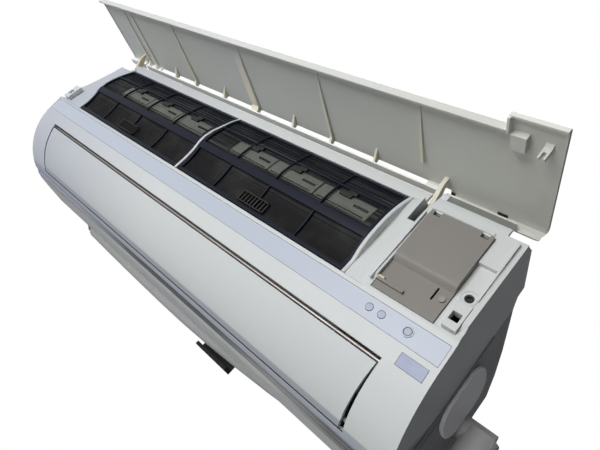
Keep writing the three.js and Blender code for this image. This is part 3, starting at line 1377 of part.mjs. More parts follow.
piece("gas_flare_nut", nut([-300.75, GAS_PIPE_BACK, -117], 11, 7), 0xc9a24b, 0.3, 0.9);
piece("liquid_flare_nut", nut([-312.75, LIQUID_PIPE_BACK, -100], 8, 4), 0xc9a24b, 0.3, 0.9);

function pipeClamp() {
  const rear = BODY_DEPTH - 0.6;
  const front = BODY_DEPTH - 18;
  return join(
    box(CLAMP_LEFT, CLAMP_RIGHT, front, rear, CLAMP_FOOT, CLAMP_FOOT + CLAMP_THICK),
    box(CLAMP_LEFT, CLAMP_RIGHT, rear - 1.5, rear, CLAMP_FOOT, CHANNEL_ROOF - GAP),
  );
}
piece("pipe_clamp", pipeClamp(), 0x1c1c1e);

export default group;
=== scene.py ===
"""Looks of a split air conditioner's indoor unit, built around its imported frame."""
import math

import bpy
import numpy as np
from mathutils import Euler, Matrix, Vector


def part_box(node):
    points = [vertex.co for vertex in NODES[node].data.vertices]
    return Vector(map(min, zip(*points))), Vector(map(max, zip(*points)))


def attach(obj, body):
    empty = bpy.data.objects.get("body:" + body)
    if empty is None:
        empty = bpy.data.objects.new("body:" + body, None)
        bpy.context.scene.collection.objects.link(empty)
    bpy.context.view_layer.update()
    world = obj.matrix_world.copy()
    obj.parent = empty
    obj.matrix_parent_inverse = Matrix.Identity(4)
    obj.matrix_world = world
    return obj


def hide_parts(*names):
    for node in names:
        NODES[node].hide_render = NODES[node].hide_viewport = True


bl_info = {
    "name": "Split air conditioner indoor unit",
    "version": (1, 0, 0),
    "blender": (4, 5, 0),
    "location": "View3D > Sidebar > Indoor unit",
    "description": "Finishes and fine pieces of a wall-hung indoor unit with its intake panel open",
    "category": "Object",
}

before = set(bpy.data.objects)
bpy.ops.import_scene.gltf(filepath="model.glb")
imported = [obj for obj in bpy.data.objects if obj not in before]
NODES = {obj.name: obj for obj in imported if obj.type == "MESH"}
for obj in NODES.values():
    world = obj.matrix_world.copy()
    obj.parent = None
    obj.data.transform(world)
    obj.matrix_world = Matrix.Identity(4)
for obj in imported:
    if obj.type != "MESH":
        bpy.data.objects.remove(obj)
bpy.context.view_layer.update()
MM = 0.001
DEPTH = 215 * MM


def linear(red, green, blue):
    """Turns screen colour values from 0 to 255 into the renderer's linear ones."""
    def one(value):
        value = value / 255
        return value / 12.92 if value <= 0.04045 else ((value + 0.055) / 1.055) ** 2.4
    return (one(red), one(green), one(blue))


# Measures

# Ellipse of the lower front, in metres: its middle and its two radii
BELLY_MIDDLE_Y, BELLY_MIDDLE_Z = -0.098, -0.010
BELLY_DEEP, BELLY_HIGH = 0.115, 0.112

# Stretches round that ellipse, in degrees from its foremost line: painted shade on the flap's foot and
# under the outlet, then the warm underside
FLAP_FOOT = (57.4, 58.6)
COOL_STRETCH = (61, 68.4)
DARK_LINE = (68.2, 74.9)
RIGHT_END = (67, 70)
LEFT_SHADE = (67, 80)
UNDERSIDE = (75, 78)

# Places along the width, in metres, each pair as the two ends of a change of tone: painted shade under the
# outlet and on the right end, and a painted fall-off of light towards the left. The fade of the dark line
# counts from its middle.
LINE_MIDDLE = 0.04
LINE_FADE = (0.10, 0.30)
RIGHT_END_ALONG = (0.24, 0.33)
LEFT_SHADE_ALONG = (-0.26, -0.10)
SIDE_ALONG = (0.34, 0.386)
COOL_END_ALONG = (-0.36, -0.02)

# The same on the open panel, where cream, painted light and a warmer tone lie: upwards, along the width or
# backwards, as each name says
RIBS_UP = (0.1556, 0.1588)
CREAM_ALONG = (0.30, 0.31)
FREE_EDGE_BACK = (-0.3245, -0.3060)
LIP_BACK = (-0.3045, -0.3005)
HINGE_BAR_BACK = (-0.1990, -0.1975)
WARM_ALONG = (0.0, 0.4)

# Gauze, in metres: the clear stretches before the cassettes with their soft edge, and the heights
# over which the pale streaks set in
CLEAR_LEFT, CLEAR_RIGHT = (-0.276, -0.045), (0.018, 0.251)
CLEAR_UP = (0.0605, 0.0850)
CLEAR_SOFT = 0.002
STREAKS_UP = (0.030, 0.060)

# Curves of the filters and of the opening's right lip, in mm behind the front reference plane and up
FILTER_LINE = ((1.5, 2.6), (1.2, 19), (-1.3, 35), (-4.6, 48), (-5.6, 60), (-4.6, 74),
               (-1.0, 91.5), (4.0, 109), (9.3, 119.8))
LIP_LINE = ((1.0, 1.5), (1.6, 17), (-3.5, 32), (-6.0, 46), (-6.6, 62), (-5.5, 80),
            (-1.5, 98), (3.6, 112), (6.5, 119))
FILTER_STEPS, LIP_STEPS = 60, 50

# Filter frame: the number of its columns, then sizes in mm
FILTER_COLUMNS = 4
FILTER_DEEP = 2.6
RIB_CORNER, BAR_CORNER = 0.6, 0.5
FOOT_BAR_RISE, FOOT_BAR_TALL = 2.6, 5
HEAD_BAR_DROP, HEAD_BAR_TALL = 2.0, 4
MIDDLE_BAR_UP, MIDDLE_BAR_TALL, MIDDLE_BAR_PROUD = 49.5, 11, 0.3
UPPER_RIB_UP, UPPER_RIB_TALL = 90.5, 2.2
STRAND_UPS = (96, 101, 106, 111.5)
STRAND_TALL, STRAND_SUNK, STRAND_THIN = 0.8, 0.6, 1.2

# Comb on each filter's grip: sizes in mm, and the number of its teeth
COMB_ALONG, COMB_HALF = 144, 22
RAIL_UPS = (9.5, 24.0)
RAIL_TALL, RAIL_PROUD, RAIL_THIN = 1.6, 2.0, 3.4
TOOTH_COUNT, TOOTH_HALF = 9, 0.8
TOOTH_UP, TOOTH_TALL, TOOTH_PROUD, TOOTH_THIN = 17, 15, 1.2, 2.4

# Gauze behind the filter frame: sizes in mm, its points along the width, and an angle in degrees
GAUZE_GAP = 0.9
GAUZE_THICK = 0.3
GAUZE_COLUMNS = 40
GAUZE_SMOOTH = 80

# Blocks in mm: spans along the width, backwards and upwards, then the corner radius.
# Along the width, those of a cassette count from its middle.
CASSETTE_COUNT = 6
SLOT_COUNT, SLOT_PITCH, SLOT_FROM, SLOT_WIDE = 7, 3, 14, 1.4
CASSETTE_CLIP = (((-12, 5), (-2.2, 0.4), (79, 86), 0.3),
                 ((-3, 9), (-2.0, 0.6), (84, 89), 0.3))
# Slots and groove on each cassette: dark blocks of painted shade
CASSETTE_SLOT_SHADE = tuple(((SLOT_FROM + SLOT_PITCH * i, SLOT_FROM + SLOT_PITCH * i + SLOT_WIDE),
                        (-1.6, 0.4), (72, 75), 0.3) for i in range(SLOT_COUNT))
CASSETTE_GROOVE_SHADE = (((-34, 34), (-2.0, 0.2), (63.5, 64.5), 0.3),)
BAY_LEDGES = (((298.5, 301), (-9.6, -7.0), (8, 101), 0.8),
              ((299, 369), (-6.9, -3.6), (109.5, 112.5), 1.0),
              ((372.5, 391.5), (-1.6, 0.6), (79.5, 82), 0.7),
              ((391.5, 393.5), (-9.4, -7.0), (40, 112), 0.8),
              ((291.9, 300), (12.0, 14.2), (137, 145), 0.6))
COVER_CLIPS = (((300.5, 311), (-5.6, -1.0), (12.8, 17.2), 0.8),
               ((303.5, 306.5), (-2.6, 0.4), (103.5, 107.5), 0.6),
               ((313.5, 316.5), (-2.6, 0.4), (103.5, 107.5), 0.6),
               ((356, 360), (-2.6, 0.4), (103, 107), 0.6))
# The dark slot in the cover: a block of painted shade
COVER_SLOT_SHADE = (((363.5, 368), (-2.2, 0.2), (101, 106.5), 0.8),)
# Dark slabs of painted shade in the slots by the panel's hinge bar
PANEL_SLOT_SHADE = (((292.5, 297), (23.5, 27.5), (157.8, 159.2), 0.3),
               ((347, 358), (23.5, 27.5), (157.8, 159.2), 0.3))

# Lip of the filter opening and the wall behind it, in mm: place along, set back, width, height, corner
LIP_PARTS = ((268.8, 2.0, 4.6, 5.4, 1.4), (269.7, 6.0, 3.0, 7.0, 0.4))

# Rings in the screw well, a white rim and a dark ring of painted shade in the hole: sizes in mm, and the
# points round the circle
WELL_ALONG, WELL_UP = 384, 42
RING_STEPS = 49
RING_DEEP, RING_CORNER = 1.2, 0.3
RIM_RADIUS, RIM_WIDE, RIM_BACK = 8.2, 0.9, -0.7
HOLE_RADIUS, HOLE_WIDE, HOLE_BACK = 3.1, 3.0, 0.8

# Edges: angles in degrees, the reach of the weld in metres, and the steps round a section's corner
PLAIN_SPLIT, ROUNDED_SPLIT = 28, 50
BEVEL_FROM = 40
PIECE_SMOOTH = 40
WELD_REACH = 0.00002
CORNER_STEPS = 3

# Sockets of the Mix node
MIX_FACTOR = 0
MIX_FIRST_NUMBER, MIX_SECOND_NUMBER = 2, 3
MIX_FIRST_COLOUR, MIX_SECOND_COLOUR, MIX_COLOUR_OUT = 6, 7, 2

# Light of the world: the two ends of its change towards the right, and its strength at each
FILL_CHANGE = (-0.3, 0.8, 0.12, 0.04)
SHINE_CHANGE = (-0.2, 0.7, 0.8, 0.10)
COOL_WHITE, PURE_WHITE = (0.96, 0.97, 1.0), (1.0, 1.0, 1.0)

# Floor in metres, and lamps with their place, target and size in metres and their power in watts
FLOOR_REACH, FLOOR_UP = 6.0, -1.5
FLOOR_TONE = (0.86, 0.86, 0.86)
LAMPS = (("key_lamp", (-0.2, -2.4, -0.35), (0, -0.15, 0.02), 1.2, 46),
         ("top_lamp", (-1.0, -1.0, 1.9), (0, -0.15, 0.0), 1.2, 10),
         ("back_lamp", (-1.4, 2.2, 0.7), (0, -0.1, 0.0), 1.4, 16))

# Camera: place in metres, turn in degrees, picture width and focal length in pixels, sensor in mm
CAMERA_PLACE = (0.49396, -0.61215, -0.14902)
CAMERA_TURN = (115.4476, -41.4352, 19.884)
PICTURE_WIDE, PICTURE_FOCAL = 600, 477.765
SENSOR_WIDE = 36


# Settings

def colour(label, text, value):
    return bpy.props.FloatVectorProperty(
        name=label, description=text, subtype="COLOR", size=3, min=0, max=1, default=value)


def length(label, text, value):
    return bpy.props.FloatProperty(
        name=label, description=text, subtype="DISTANCE", unit="LENGTH", default=value, min=0)


class UnitColours(bpy.types.PropertyGroup):
    shell: colour("Shell", "Off-white of the moulded shell", linear(204, 208, 209))
    panel: colour("Panel", "Inner face of the open panel", linear(202, 206, 204))
    aged: colour("Aged plastic", "Yellowed tone of the older mouldings", linear(214, 205, 178))
    band: colour("Band", "Pale lilac of the band", linear(186, 193, 206))
    lens: colour("Lens", "Lilac of lamp lenses and receiver window", linear(164, 172, 196))
    cover: colour("Electronics cover", "Warm grey of the cover", linear(131, 128, 123))
    filters: colour("Filter frame", "Near-black navy of the filter frames", linear(28, 31, 43))
    mesh: colour("Filter mesh", "Dark grey of the filter mesh", linear(28, 28, 30))
    cassette: colour("Cassette", "Pale grey-green of the air cleaning cassettes", linear(214, 220, 208))
    # The coil's grey is darker than bare fins: dusty metal and painted shade of the dim inside
    coil: colour("Coil", "Grey of the fins behind the filters", linear(112, 114, 116))
    plate: colour("Side plate", "Grey of the oval side plate", linear(248, 249, 251))
    hose: colour("Hose", "Grey of the hose", linear(182, 181, 185))
    # Near-black of the combs and clips, and painted shade in slots, grooves and the screw well
    shadow: colour("Deep gaps", "Near-black of slots and clips", linear(32, 31, 30))


class UnitSizes(bpy.types.PropertyGroup):
    filter_bar: length("Filter bar", "Width of a filter frame's edge bar", 4.4 * MM)
    filter_rib: length("Filter rib", "Width of a filter frame's rib", 2.2 * MM)
    fin_pitch: length("Fin pitch", "Distance between two fins of the heat exchanger", 2.2 * MM)
    thread_pitch: length("Thread pitch", "Distance between two threads of the filter mesh", 1.3 * MM)


# Shader maths

class Wire:
    """One output socket of a shader, with the arithmetic that adds Math nodes."""

    def __init__(self, tree, socket):
        self.tree = tree
        self.socket = socket

    def math(self, operation, *others):
        values = dict(enumerate((self, *others)))
        return self.tree.node("ShaderNodeMath", {"operation": operation}, values)

    def __add__(self, other):
        return self.math("ADD", other)

    __radd__ = __add__

    def __sub__(self, other):
        return self.math("SUBTRACT", other)

    def __rsub__(self, other):
        return self.tree.node("ShaderNodeMath", {"operation": "SUBTRACT"}, {0: other, 1: self})

    def __mul__(self, other):
        return self.math("MULTIPLY", other)

    __rmul__ = __mul__

    def __truediv__(self, other):
        return self.math("DIVIDE", other)

    def over(self, low, high):
        """0 below low, 1 above high, and a straight rise between them."""
        return self.spread(low, high, 0.0, 1.0)

    def spread(self, low, high, first, second):
        """first below low, second above high, and a straight change between them."""
        return self.tree.node("ShaderNodeMapRange", {"clamp": True},
                              {"Value": self, "From Min": low, "From Max": high,
                               "To Min": first, "To Max": second})


class Tree:
    """The nodes of a material or of the world, all made by one method."""

    def __init__(self, tree):
        self.nodes = tree.nodes
        self.links = tree.links

    def node(self, kind, settings=None, values=None, out=0):
        """Adds a node: its settings first, then a value or a link for each socket."""
        made = self.nodes.new(kind)
        for key, value in (settings or {}).items():
            setattr(made, key, value)
        for key, value in (values or {}).items():
            socket = made.inputs[key]
            if isinstance(value, Wire):
                self.links.new(value.socket, socket)
            elif socket.type == "RGBA":
                socket.default_value = (*value, 1)
            else:
                socket.default_value = value
        return Wire(self, made.outputs[out])

    def tint(self, factor, first, second):
        """Colour that goes from first to second as factor goes from 0 to 1."""
        return self.node("ShaderNodeMix", {"data_type": "RGBA", "clamp_factor": True},
                         {MIX_FACTOR: factor, MIX_FIRST_COLOUR: first, MIX_SECOND_COLOUR: second},
                         out=MIX_COLOUR_OUT)

    def mixed(self, factor, first, second):
        """Number that goes from first to second as factor goes from 0 to 1."""
        return self.node("ShaderNodeMix", None,
                         {MIX_FACTOR: factor, MIX_FIRST_NUMBER: first, MIX_SECOND_NUMBER: second})


class Finish(Tree):
    """A material in the making: a Principled shader and the nodes that feed it."""

    def __init__(self, name, base, roughness, metallic=0.0, gloss=0.5):
        self.material = bpy.data.materials.new(name)
        self.material.use_nodes = True
        super().__init__(self.material.node_tree)
        self.shader = self.nodes["Principled BSDF"]
        self.shader.inputs["Base Color"].default_value = (*base, 1)
        self.shader.inputs["Roughness"].default_value = roughness
        self.shader.inputs["Metallic"].default_value = metallic
        self.shader.inputs["Specular IOR Level"].default_value = gloss
        self.place = self.node("ShaderNodeTexCoord", out="Object")

    def noise(self, scale, detail, roughness, stretch=None):
        where = self.place
        if stretch:
            where = self.node("ShaderNodeMapping", None, {"Vector": where, "Scale": stretch})
        return self.node("ShaderNodeTexNoise", None,
                         {"Vector": where, "Scale": scale, "Detail": detail, "Roughness": roughness})

    def axis(self, index):
        """Place along the width, backwards or upwards, in metres, for index 0, 1 or 2."""
        return self.node("ShaderNodeSeparateXYZ", None, {0: self.place}, out=index)

    def feed(self, socket, wire):
        self.links.new(wire.socket, self.shader.inputs[socket])

    def bump(self, height, strength, distance):
        self.feed("Normal", self.node("ShaderNodeBump", None,
                                      {"Height": height, "Strength": strength, "Distance": distance}))


def scaled(tone, by):
    return tuple(min(1.0, value * by) for value in tone)


def blended(first, second, share):
    return tuple(a + (b - a) * share for a, b in zip(first, second))


def in_radians(span):
    return tuple(math.radians(angle) for angle in span)


def between(wire, low, high, soft):
    """1 between low and high, 0 outside, with edges that rise and fall over the soft width."""
    return wire.over(low - soft, low + soft) * (1 - wire.over(high - soft, high + soft))


def moulded_plastic(name, base, roughness=0.46, aged=0.25, dust=0.18, grain=0.12, gloss=0.35,
                    shade=None):
    """Moulded plastic: slow drifts of tone, faint yellowing, small dark specks and a fine skin.
    shade, where given, takes the finish and its tone and returns the tone with its own painted light and
    shade."""
    finish = Finish(name, base, roughness, gloss=gloss)
    drift = finish.noise(7.0, 3.0, 0.55)
    cloud = finish.noise(24.0, 4.0, 0.6)
    yellow = blended(base, scaled(linear(216, 205, 168), sum(base) / 2.0), 0.55)
    tone = finish.tint(drift.over(0.35, 0.75) * aged, base, yellow)
    tone = finish.tint(cloud.over(0.52, 0.78) * dust, tone, scaled(base, 0.72))
    specks = finish.noise(420.0, 2.0, 0.6).over(0.70, 0.78)
    tone = finish.tint(specks * (dust * 1.3), tone, scaled(base, 0.45))
    finish.feed("Base Color", shade(finish, tone) if shade else tone)
    skin = finish.noise(1500.0, 2.0, 0.6)
    finish.feed("Roughness", roughness + 0.10 * (cloud - 0.5) + 0.05 * (skin - 0.5))
    finish.bump(skin, grain, 0.0004)
    return finish.material


def belly_angle(finish):
    """Angle round the ellipse of the lower front, 0 at its foremost line: the arctangent of the drop
    over the height radius against the reach over the depth radius."""
    reach = (BELLY_MIDDLE_Y - finish.axis(1)) / BELLY_DEEP
    drop = (BELLY_MIDDLE_Z - finish.axis(2)) / BELLY_HIGH
    return drop.math("ARCTAN2", reach)


def drift_across(finish, tone):
    """Cooler and deeper tone towards the left end, as the room's light falls off along the unit."""
    left = 1 - finish.axis(0).over(*COOL_END_ALONG)
    return finish.tint(left * 0.5, tone, linear(164, 170, 189))


def belly_shade(finish, tone):
    """Painted shade and grime under the outlet: a blue-grey stretch of painted shade, a dark line of
    painted shade that is strongest in the middle and spreads at the right end, a blue-grey patch of
    painted shade at the left end, and a warm, grimy underside follow one another."""
    # Noise that wobbles the edges of the painted shade and sets the grime on the underside
    grime_and_shade = finish.noise(16.0, 4.0, 0.6).over(0.3, 0.7)
    edge = belly_angle(finish) + 0.012 * (grime_and_shade - 0.5)
    x = finish.axis(0)
    # Painted shade: a blue-grey stretch below the flap's foot
    cool = between(edge, *in_radians(COOL_STRETCH), soft=0.012)
    tone = finish.tint(cool * 0.85, tone, scaled(linear(170, 178, 190), 0.86))
    # Painted shade: a dark line in the groove, strongest in the middle
    middle = 1 - (x - LINE_MIDDLE).math("ABSOLUTE").over(*LINE_FADE)
    line = between(edge, *in_radians(DARK_LINE), soft=0.008)
    tone = finish.tint(line * (0.35 + 0.6 * middle), tone, linear(84, 84, 88))
    # Painted shadow over the right end of the underside
    right = x.over(*RIGHT_END_ALONG) * edge.over(*in_radians(RIGHT_END))
    tone = finish.tint(right * 0.85, tone, linear(92, 92, 98))
    # Painted shade: a blue-grey patch at the left end
    left = (1 - x.over(*LEFT_SHADE_ALONG)) * between(edge, *in_radians(LEFT_SHADE), soft=0.02)
    tone = finish.tint(left * 0.5, tone, linear(134, 138, 144))
    under = edge.over(*in_radians(UNDERSIDE))
    tone = finish.tint(under * (0.10 + 0.25 * grime_and_shade), tone, linear(206, 200, 186))
    return drift_across(finish, tone)


def flap_shade(finish, tone):
    """Painted shade: a blue-grey strip along the flap's foot, with a soft edge."""
    foot = belly_angle(finish).over(*in_radians(FLAP_FOOT))
    tone = finish.tint(foot * 0.92, tone, scaled(linear(158, 164, 172), 0.94))
    return drift_across(finish, tone)


def side_shade(finish, tone):
    """Painted shade on the right end of the chassis, darker than its underside."""
    side = finish.axis(0).over(*SIDE_ALONG)
    return finish.tint(side * 0.75, tone, linear(128, 128, 132))


def panel_shade(finish, tone):
    """Ribs and teeth under the panel's inner face are cream and brighter: yellowed plastic, with painted
    light on them. Its bar and its free edge are painted paler as painted light, and the whole turns a
    little warmer towards the right."""
    low = (1 - finish.axis(2).over(*RIBS_UP)) * (1 - finish.axis(0).over(*CREAM_ALONG))
    inside = finish.axis(1).over(*LIP_BACK)
    heel = finish.axis(1).over(*HINGE_BAR_BACK)
    # Painted light: the free edge goes paler
    tone = finish.tint(1 - finish.axis(1).over(*FREE_EDGE_BACK), tone, linear(238, 238, 236))
    # Cream ribs and teeth: yellowed plastic brightened with painted light
    tone = finish.tint(low * inside * (1 - heel) * 0.95, tone, linear(244, 234, 204))
    # Painted light: the hinge bar goes nearly white
    tone = finish.tint(low * heel * 0.9, tone, linear(250, 251, 248))
    return finish.tint(finish.axis(0).over(*WARM_ALONG) * 0.45, tone, linear(200, 198, 184))


def satin_metal(name, base, roughness):
    """Drawn or rolled metal: long fine streaks and cloudy tarnish."""
    finish = Finish(name, base, roughness, metallic=1.0)
    streak = finish.noise(2.0, 3.0, 0.6, stretch=(3.0, 260.0, 260.0))
    cloud = finish.noise(38.0, 4.0, 0.6)
    tarnish = blended(scaled(base, 0.5), (0.2, 0.17, 0.13), 0.4)
    tone = finish.tint(streak.over(0.3, 0.7) * 0.35, base, scaled(base, 0.72))
    tone = finish.tint(cloud.over(0.5, 0.75) * 0.25, tone, tarnish)
    finish.feed("Base Color", tone)
    finish.feed("Roughness", roughness + 0.22 * (streak - 0.5) + 0.18 * cloud.over(0.5, 0.8))
    finish.bump(streak, 0.12, 0.0003)
    return finish.material


def finned_metal(name, base, pitch):
    """Stack of thin fins on edge: narrow bright rims and deep dark gaps of painted shade, as a wave along
    x, with bent patches and dust."""
    finish = Finish(name, base, 0.5, metallic=0.4)
    bend = finish.noise(30.0, 3.0, 0.6)
    wave = ((finish.axis(0) + bend * 0.0012) * (2 * math.pi / pitch)).math("SINE").over(-0.5, 0.9)
    cloud = finish.noise(14.0, 4.0, 0.6)
    # Painted shade: the gaps between fins go down to a fifth of the base
    tone = finish.tint(wave, scaled(base, 0.22), base)
    tone = finish.tint(cloud.over(0.5, 0.8) * 0.5, tone, scaled(base, 0.5))
    finish.feed("Base Color", tone)
    finish.feed("Roughness", 0.45 + 0.2 * cloud)
    finish.bump(wave, 0.5, 0.0004)
    return finish.material


def foam_rubber(name, base, roughness, cell=700.0):
    """Foam or rubber: open cells as small pits, darker at their middles as painted shade, with dusty
    patches.
    """
    finish = Finish(name, base, roughness)
    cells = finish.node("ShaderNodeTexVoronoi", {"feature": "F1"},
                        {"Vector": finish.place, "Scale": cell})
    cloud = finish.noise(30.0, 4.0, 0.6)
    dusty = blended(base, linear(190, 186, 176), 0.6)
    # Painted shade in the pits: the tone is darkest at each cell's middle
    tone = finish.tint(cells.over(0.1, 0.6) * 0.3, scaled(base, 0.8), base)
    tone = finish.tint(cloud.over(0.5, 0.8) * 0.25, tone, dusty)
    finish.feed("Base Color", tone)
    finish.feed("Roughness", roughness + 0.1 * (cloud - 0.5))
    finish.bump(cells, 0.35, 0.0005)
    return finish.material


def woven_mesh(name, base, thread_pitch):
    """Fine gauze: two sets of threads as a repeating wave over height and width, see-through between.
    Dust and painted shade close it and darken it, but for the stretch before the cassettes, and pale
    streaks lie on its upper part."""
    finish = Finish(name, base, 0.7, gloss=0.12)
    pitch = 2 * math.pi / thread_pitch
    width, height = finish.axis(0), finish.axis(2)
    threads = (width * pitch).math("SINE").math("MAXIMUM", (height * pitch).math("SINE")).over(0.15, 0.5)
    cloud = finish.noise(26.0, 4.0, 0.6)
    left, right = (between(width, *span, CLEAR_SOFT) for span in (CLEAR_LEFT, CLEAR_RIGHT))
    spans = left.math("MAXIMUM", right)
    window = between(height, *CLEAR_UP, CLEAR_SOFT) * spans
    dusty = scaled(linear(84, 83, 82), 0.6)
    # Painted shade: the mesh's tone darkened, with paler dust in clouds
    tone = finish.tint(cloud.over(0.45, 0.75) * 0.4, scaled(base, 0.6), dusty)
    streak = finish.noise(5.0, 3.0, 0.6, stretch=(1.0, 90.0, 90.0)).over(0.48, 0.66)
    tone = finish.tint(streak * height.over(*STREAKS_UP) * 0.45, tone, linear(108, 110, 112))
    finish.feed("Base Color", tone)
    # Nearly opaque, as dust and painted shade over the dim inside, but clearer before the cassettes
    finish.feed("Alpha", threads * 0.10 + 0.90 - 0.62 * window)
    finish.feed("Roughness", 0.65 + 0.2 * (cloud - 0.5))
    finish.bump(threads, 0.3, 0.0002)
    return finish.material


def circuit_finish(name, base):
    """Printed board: solder resist with paler tracks between cells and small solder spots."""
    finish = Finish(name, base, 0.35)
    cells = finish.node("ShaderNodeTexVoronoi", {"feature": "DISTANCE_TO_EDGE"},
                        {"Vector": finish.place, "Scale": 260.0})
    tracks = 1 - cells.over(0.02, 0.06)
    tone = finish.tint(tracks * 0.6, base, scaled(base, 1.9))
    spots = finish.noise(300.0, 1.0, 0.4).over(0.66, 0.7)
    finish.feed("Base Color", finish.tint(spots, tone, linear(190, 190, 180)))
    finish.bump(tracks, 0.15, 0.0002)
    return finish.material


def lens_finish(name, base):
    """Smoked lens plastic: smooth, a little deeper in tone in cloudy patches."""
    finish = Finish(name, base, 0.45, gloss=0.3)
    cloud = finish.noise(60.0, 3.0, 0.5)
    finish.feed("Base Color", finish.tint(cloud.over(0.4, 0.7) * 0.35, base, scaled(base, 0.86)))
    finish.feed("Roughness", 0.42 + 0.12 * cloud)
    finish.bump(finish.noise(900.0, 1.0, 0.5), 0.03, 0.0002)
    return finish.material


# Shape tools

def smooth_line(points, count):
    """Catmull-Rom curve through the points: each span blends four neighbours by cubic weights."""
    knots = np.asarray(points, float)
    knots = np.vstack([2 * knots[0] - knots[1], knots, 2 * knots[-1] - knots[-2]])
    spans = len(knots) - 3
    along = np.linspace(0, spans, count)
    span = np.minimum(along.astype(int), spans - 1)
    t = (along - span)[:, None]
    a, b, c, d = (knots[span + k] for k in range(4))
    return 0.5 * (2 * b + (c - a) * t + (2 * a - 5 * b + 4 * c - d) * t ** 2
                  + (3 * b - a - 3 * c + d) * t ** 3)


def rounded_section(wide, high, corner):
    """Rectangle with quarter-circle corners, as offsets across and outwards from a path."""
    turn = np.linspace(0, np.pi / 2, CORNER_STEPS + 1)
    quarter = np.stack([np.cos(turn), np.sin(turn)], 1) * corner
    inner = np.array([wide / 2 - corner, high / 2 - corner])
    parts = []
    for sx, sy, k in ((1, 1, 0), (-1, 1, 1), (-1, -1, 2), (1, -1, 3)):
        c, s = math.cos(k * math.pi / 2), math.sin(k * math.pi / 2)
        spun = quarter @ np.array([[c, s], [-s, c]])
        parts.append(spun + inner * (sx, sy))
    return np.vstack(parts)


def carried(path, section, across):
    """A closed section carried along a path: its first axis follows 'across', its second is square to
    both that and the path. Both ends are capped."""
    path = np.asarray(path, float)
    way = np.gradient(path, axis=0)
    way /= np.linalg.norm(way, axis=1)[:, None]
    across = np.broadcast_to(np.asarray(across, float), way.shape)
    side = across - (across * way).sum(1)[:, None] * way
    side /= np.linalg.norm(side, axis=1)[:, None]
    out = np.cross(way, side)
    points = path[:, None] + section[None, :, :1] * side[:, None] + section[None, :, 1:] * out[:, None]
    rings, sides = points.shape[:2]
    k = np.arange(rings - 1)[:, None] * sides
    j = np.arange(sides)[None]
    n = (j + 1) % sides
    quads = np.stack([k + j, k + n, k + sides + n, k + sides + j], -1).reshape(-1, 4)
    caps = [list(range(sides))[::-1], list(range((rings - 1) * sides, rings * sides))]
    return points.reshape(-1, 3), quads.tolist() + caps


def at(back, up):
    """Place in the frame for a distance behind the front reference plane and a height, in mm."""
    return np.stack([np.asarray(back, float) * MM - DEPTH, np.asarray(up, float) * MM], -1)


def brick(x, back, up, corner):
    """Block between two distances along the width, backwards and upwards, in mm, with rounded long
    edges: a section carried along x."""
    (low_y, low_z), (high_y, high_z) = at(back[0], up[0]), at(back[1], up[1])
    deep, tall = high_y - low_y, high_z - low_z
    middle = ((low_y + high_y) / 2, (low_z + high_z) / 2)
    round_by = min(corner * MM, deep / 2.2, tall / 2.2)
    path = [(x[0] * MM, *middle), (x[1] * MM, *middle)]
    return carried(path, rounded_section(deep, tall, round_by), across=(0, 1, 0))


def bricks(places, moved=0.0):
    """Blocks at the places, moved along the width by some millimetres."""
    return [brick((x[0] + moved, x[1] + moved), back, up, corner) for x, back, up, corner in places]


def sheet_surface(grid):
    """Open surface from a grid of points, one quad for each cell."""
    rows, columns = grid.shape[:2]
    k = np.arange(rows - 1)[:, None] * columns
    j = np.arange(columns - 1)[None]
    quads = np.stack([k + j, k + columns + j, k + columns + j + 1, k + j + 1], -1).reshape(-1, 4)
    return grid.reshape(-1, 3), quads.tolist()


def build(name, shapes, material, body, replaces=(), smooth=PIECE_SMOOTH, thick=None):
    """Joins shapes into one mesh object that rides on a body and stands for the named nodes."""
    points, faces, start = [], [], 0
    for verts, polys in shapes:
        points.append(verts)
        faces += [[start + i for i in poly] for poly in polys]
        start += len(verts)
    mesh = bpy.data.meshes.new(name)
    mesh.from_pydata(np.vstack(points).tolist(), [], faces)
    mesh.materials.append(material)
    mesh.validate()
    mesh.shade_smooth()
    mesh.set_sharp_from_angle(angle=math.radians(smooth))
    piece = bpy.data.objects.new(name, mesh)
    bpy.context.scene.collection.objects.link(piece)
    if thick:
        solid = piece.modifiers.new("wall", "SOLIDIFY")
        solid.thickness = thick
        solid.offset = 0
    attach(piece, body)
    if replaces:
        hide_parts(*replaces)


def dress(node, material, edge=None):
    """Gives a CAD node its finish, smooth normals up to an angle and, where set, rounded edges."""
    piece = NODES[node]
    piece.data.materials.clear()
    piece.data.materials.append(material)
    piece.data.polygons.foreach_set("use_smooth", np.ones(len(piece.data.polygons), bool))
    weld = piece.modifiers.new("weld", "WELD")
    weld.merge_threshold = WELD_REACH
    if edge:
        rounded = piece.modifiers.new("edge", "BEVEL")
        rounded.width = edge
        rounded.segments = 2
        rounded.limit_method = "ANGLE"
        rounded.angle_limit = math.radians(BEVEL_FROM)
        rounded.harden_normals = False
    split = piece.modifiers.new("split", "EDGE_SPLIT")
    split.split_angle = math.radians(ROUNDED_SPLIT if edge else PLAIN_SPLIT)
    split.use_edge_sharp = False
    even = piece.modifiers.new("even", "WEIGHTED_NORMAL")
    even.keep_sharp = True


# Stage tools

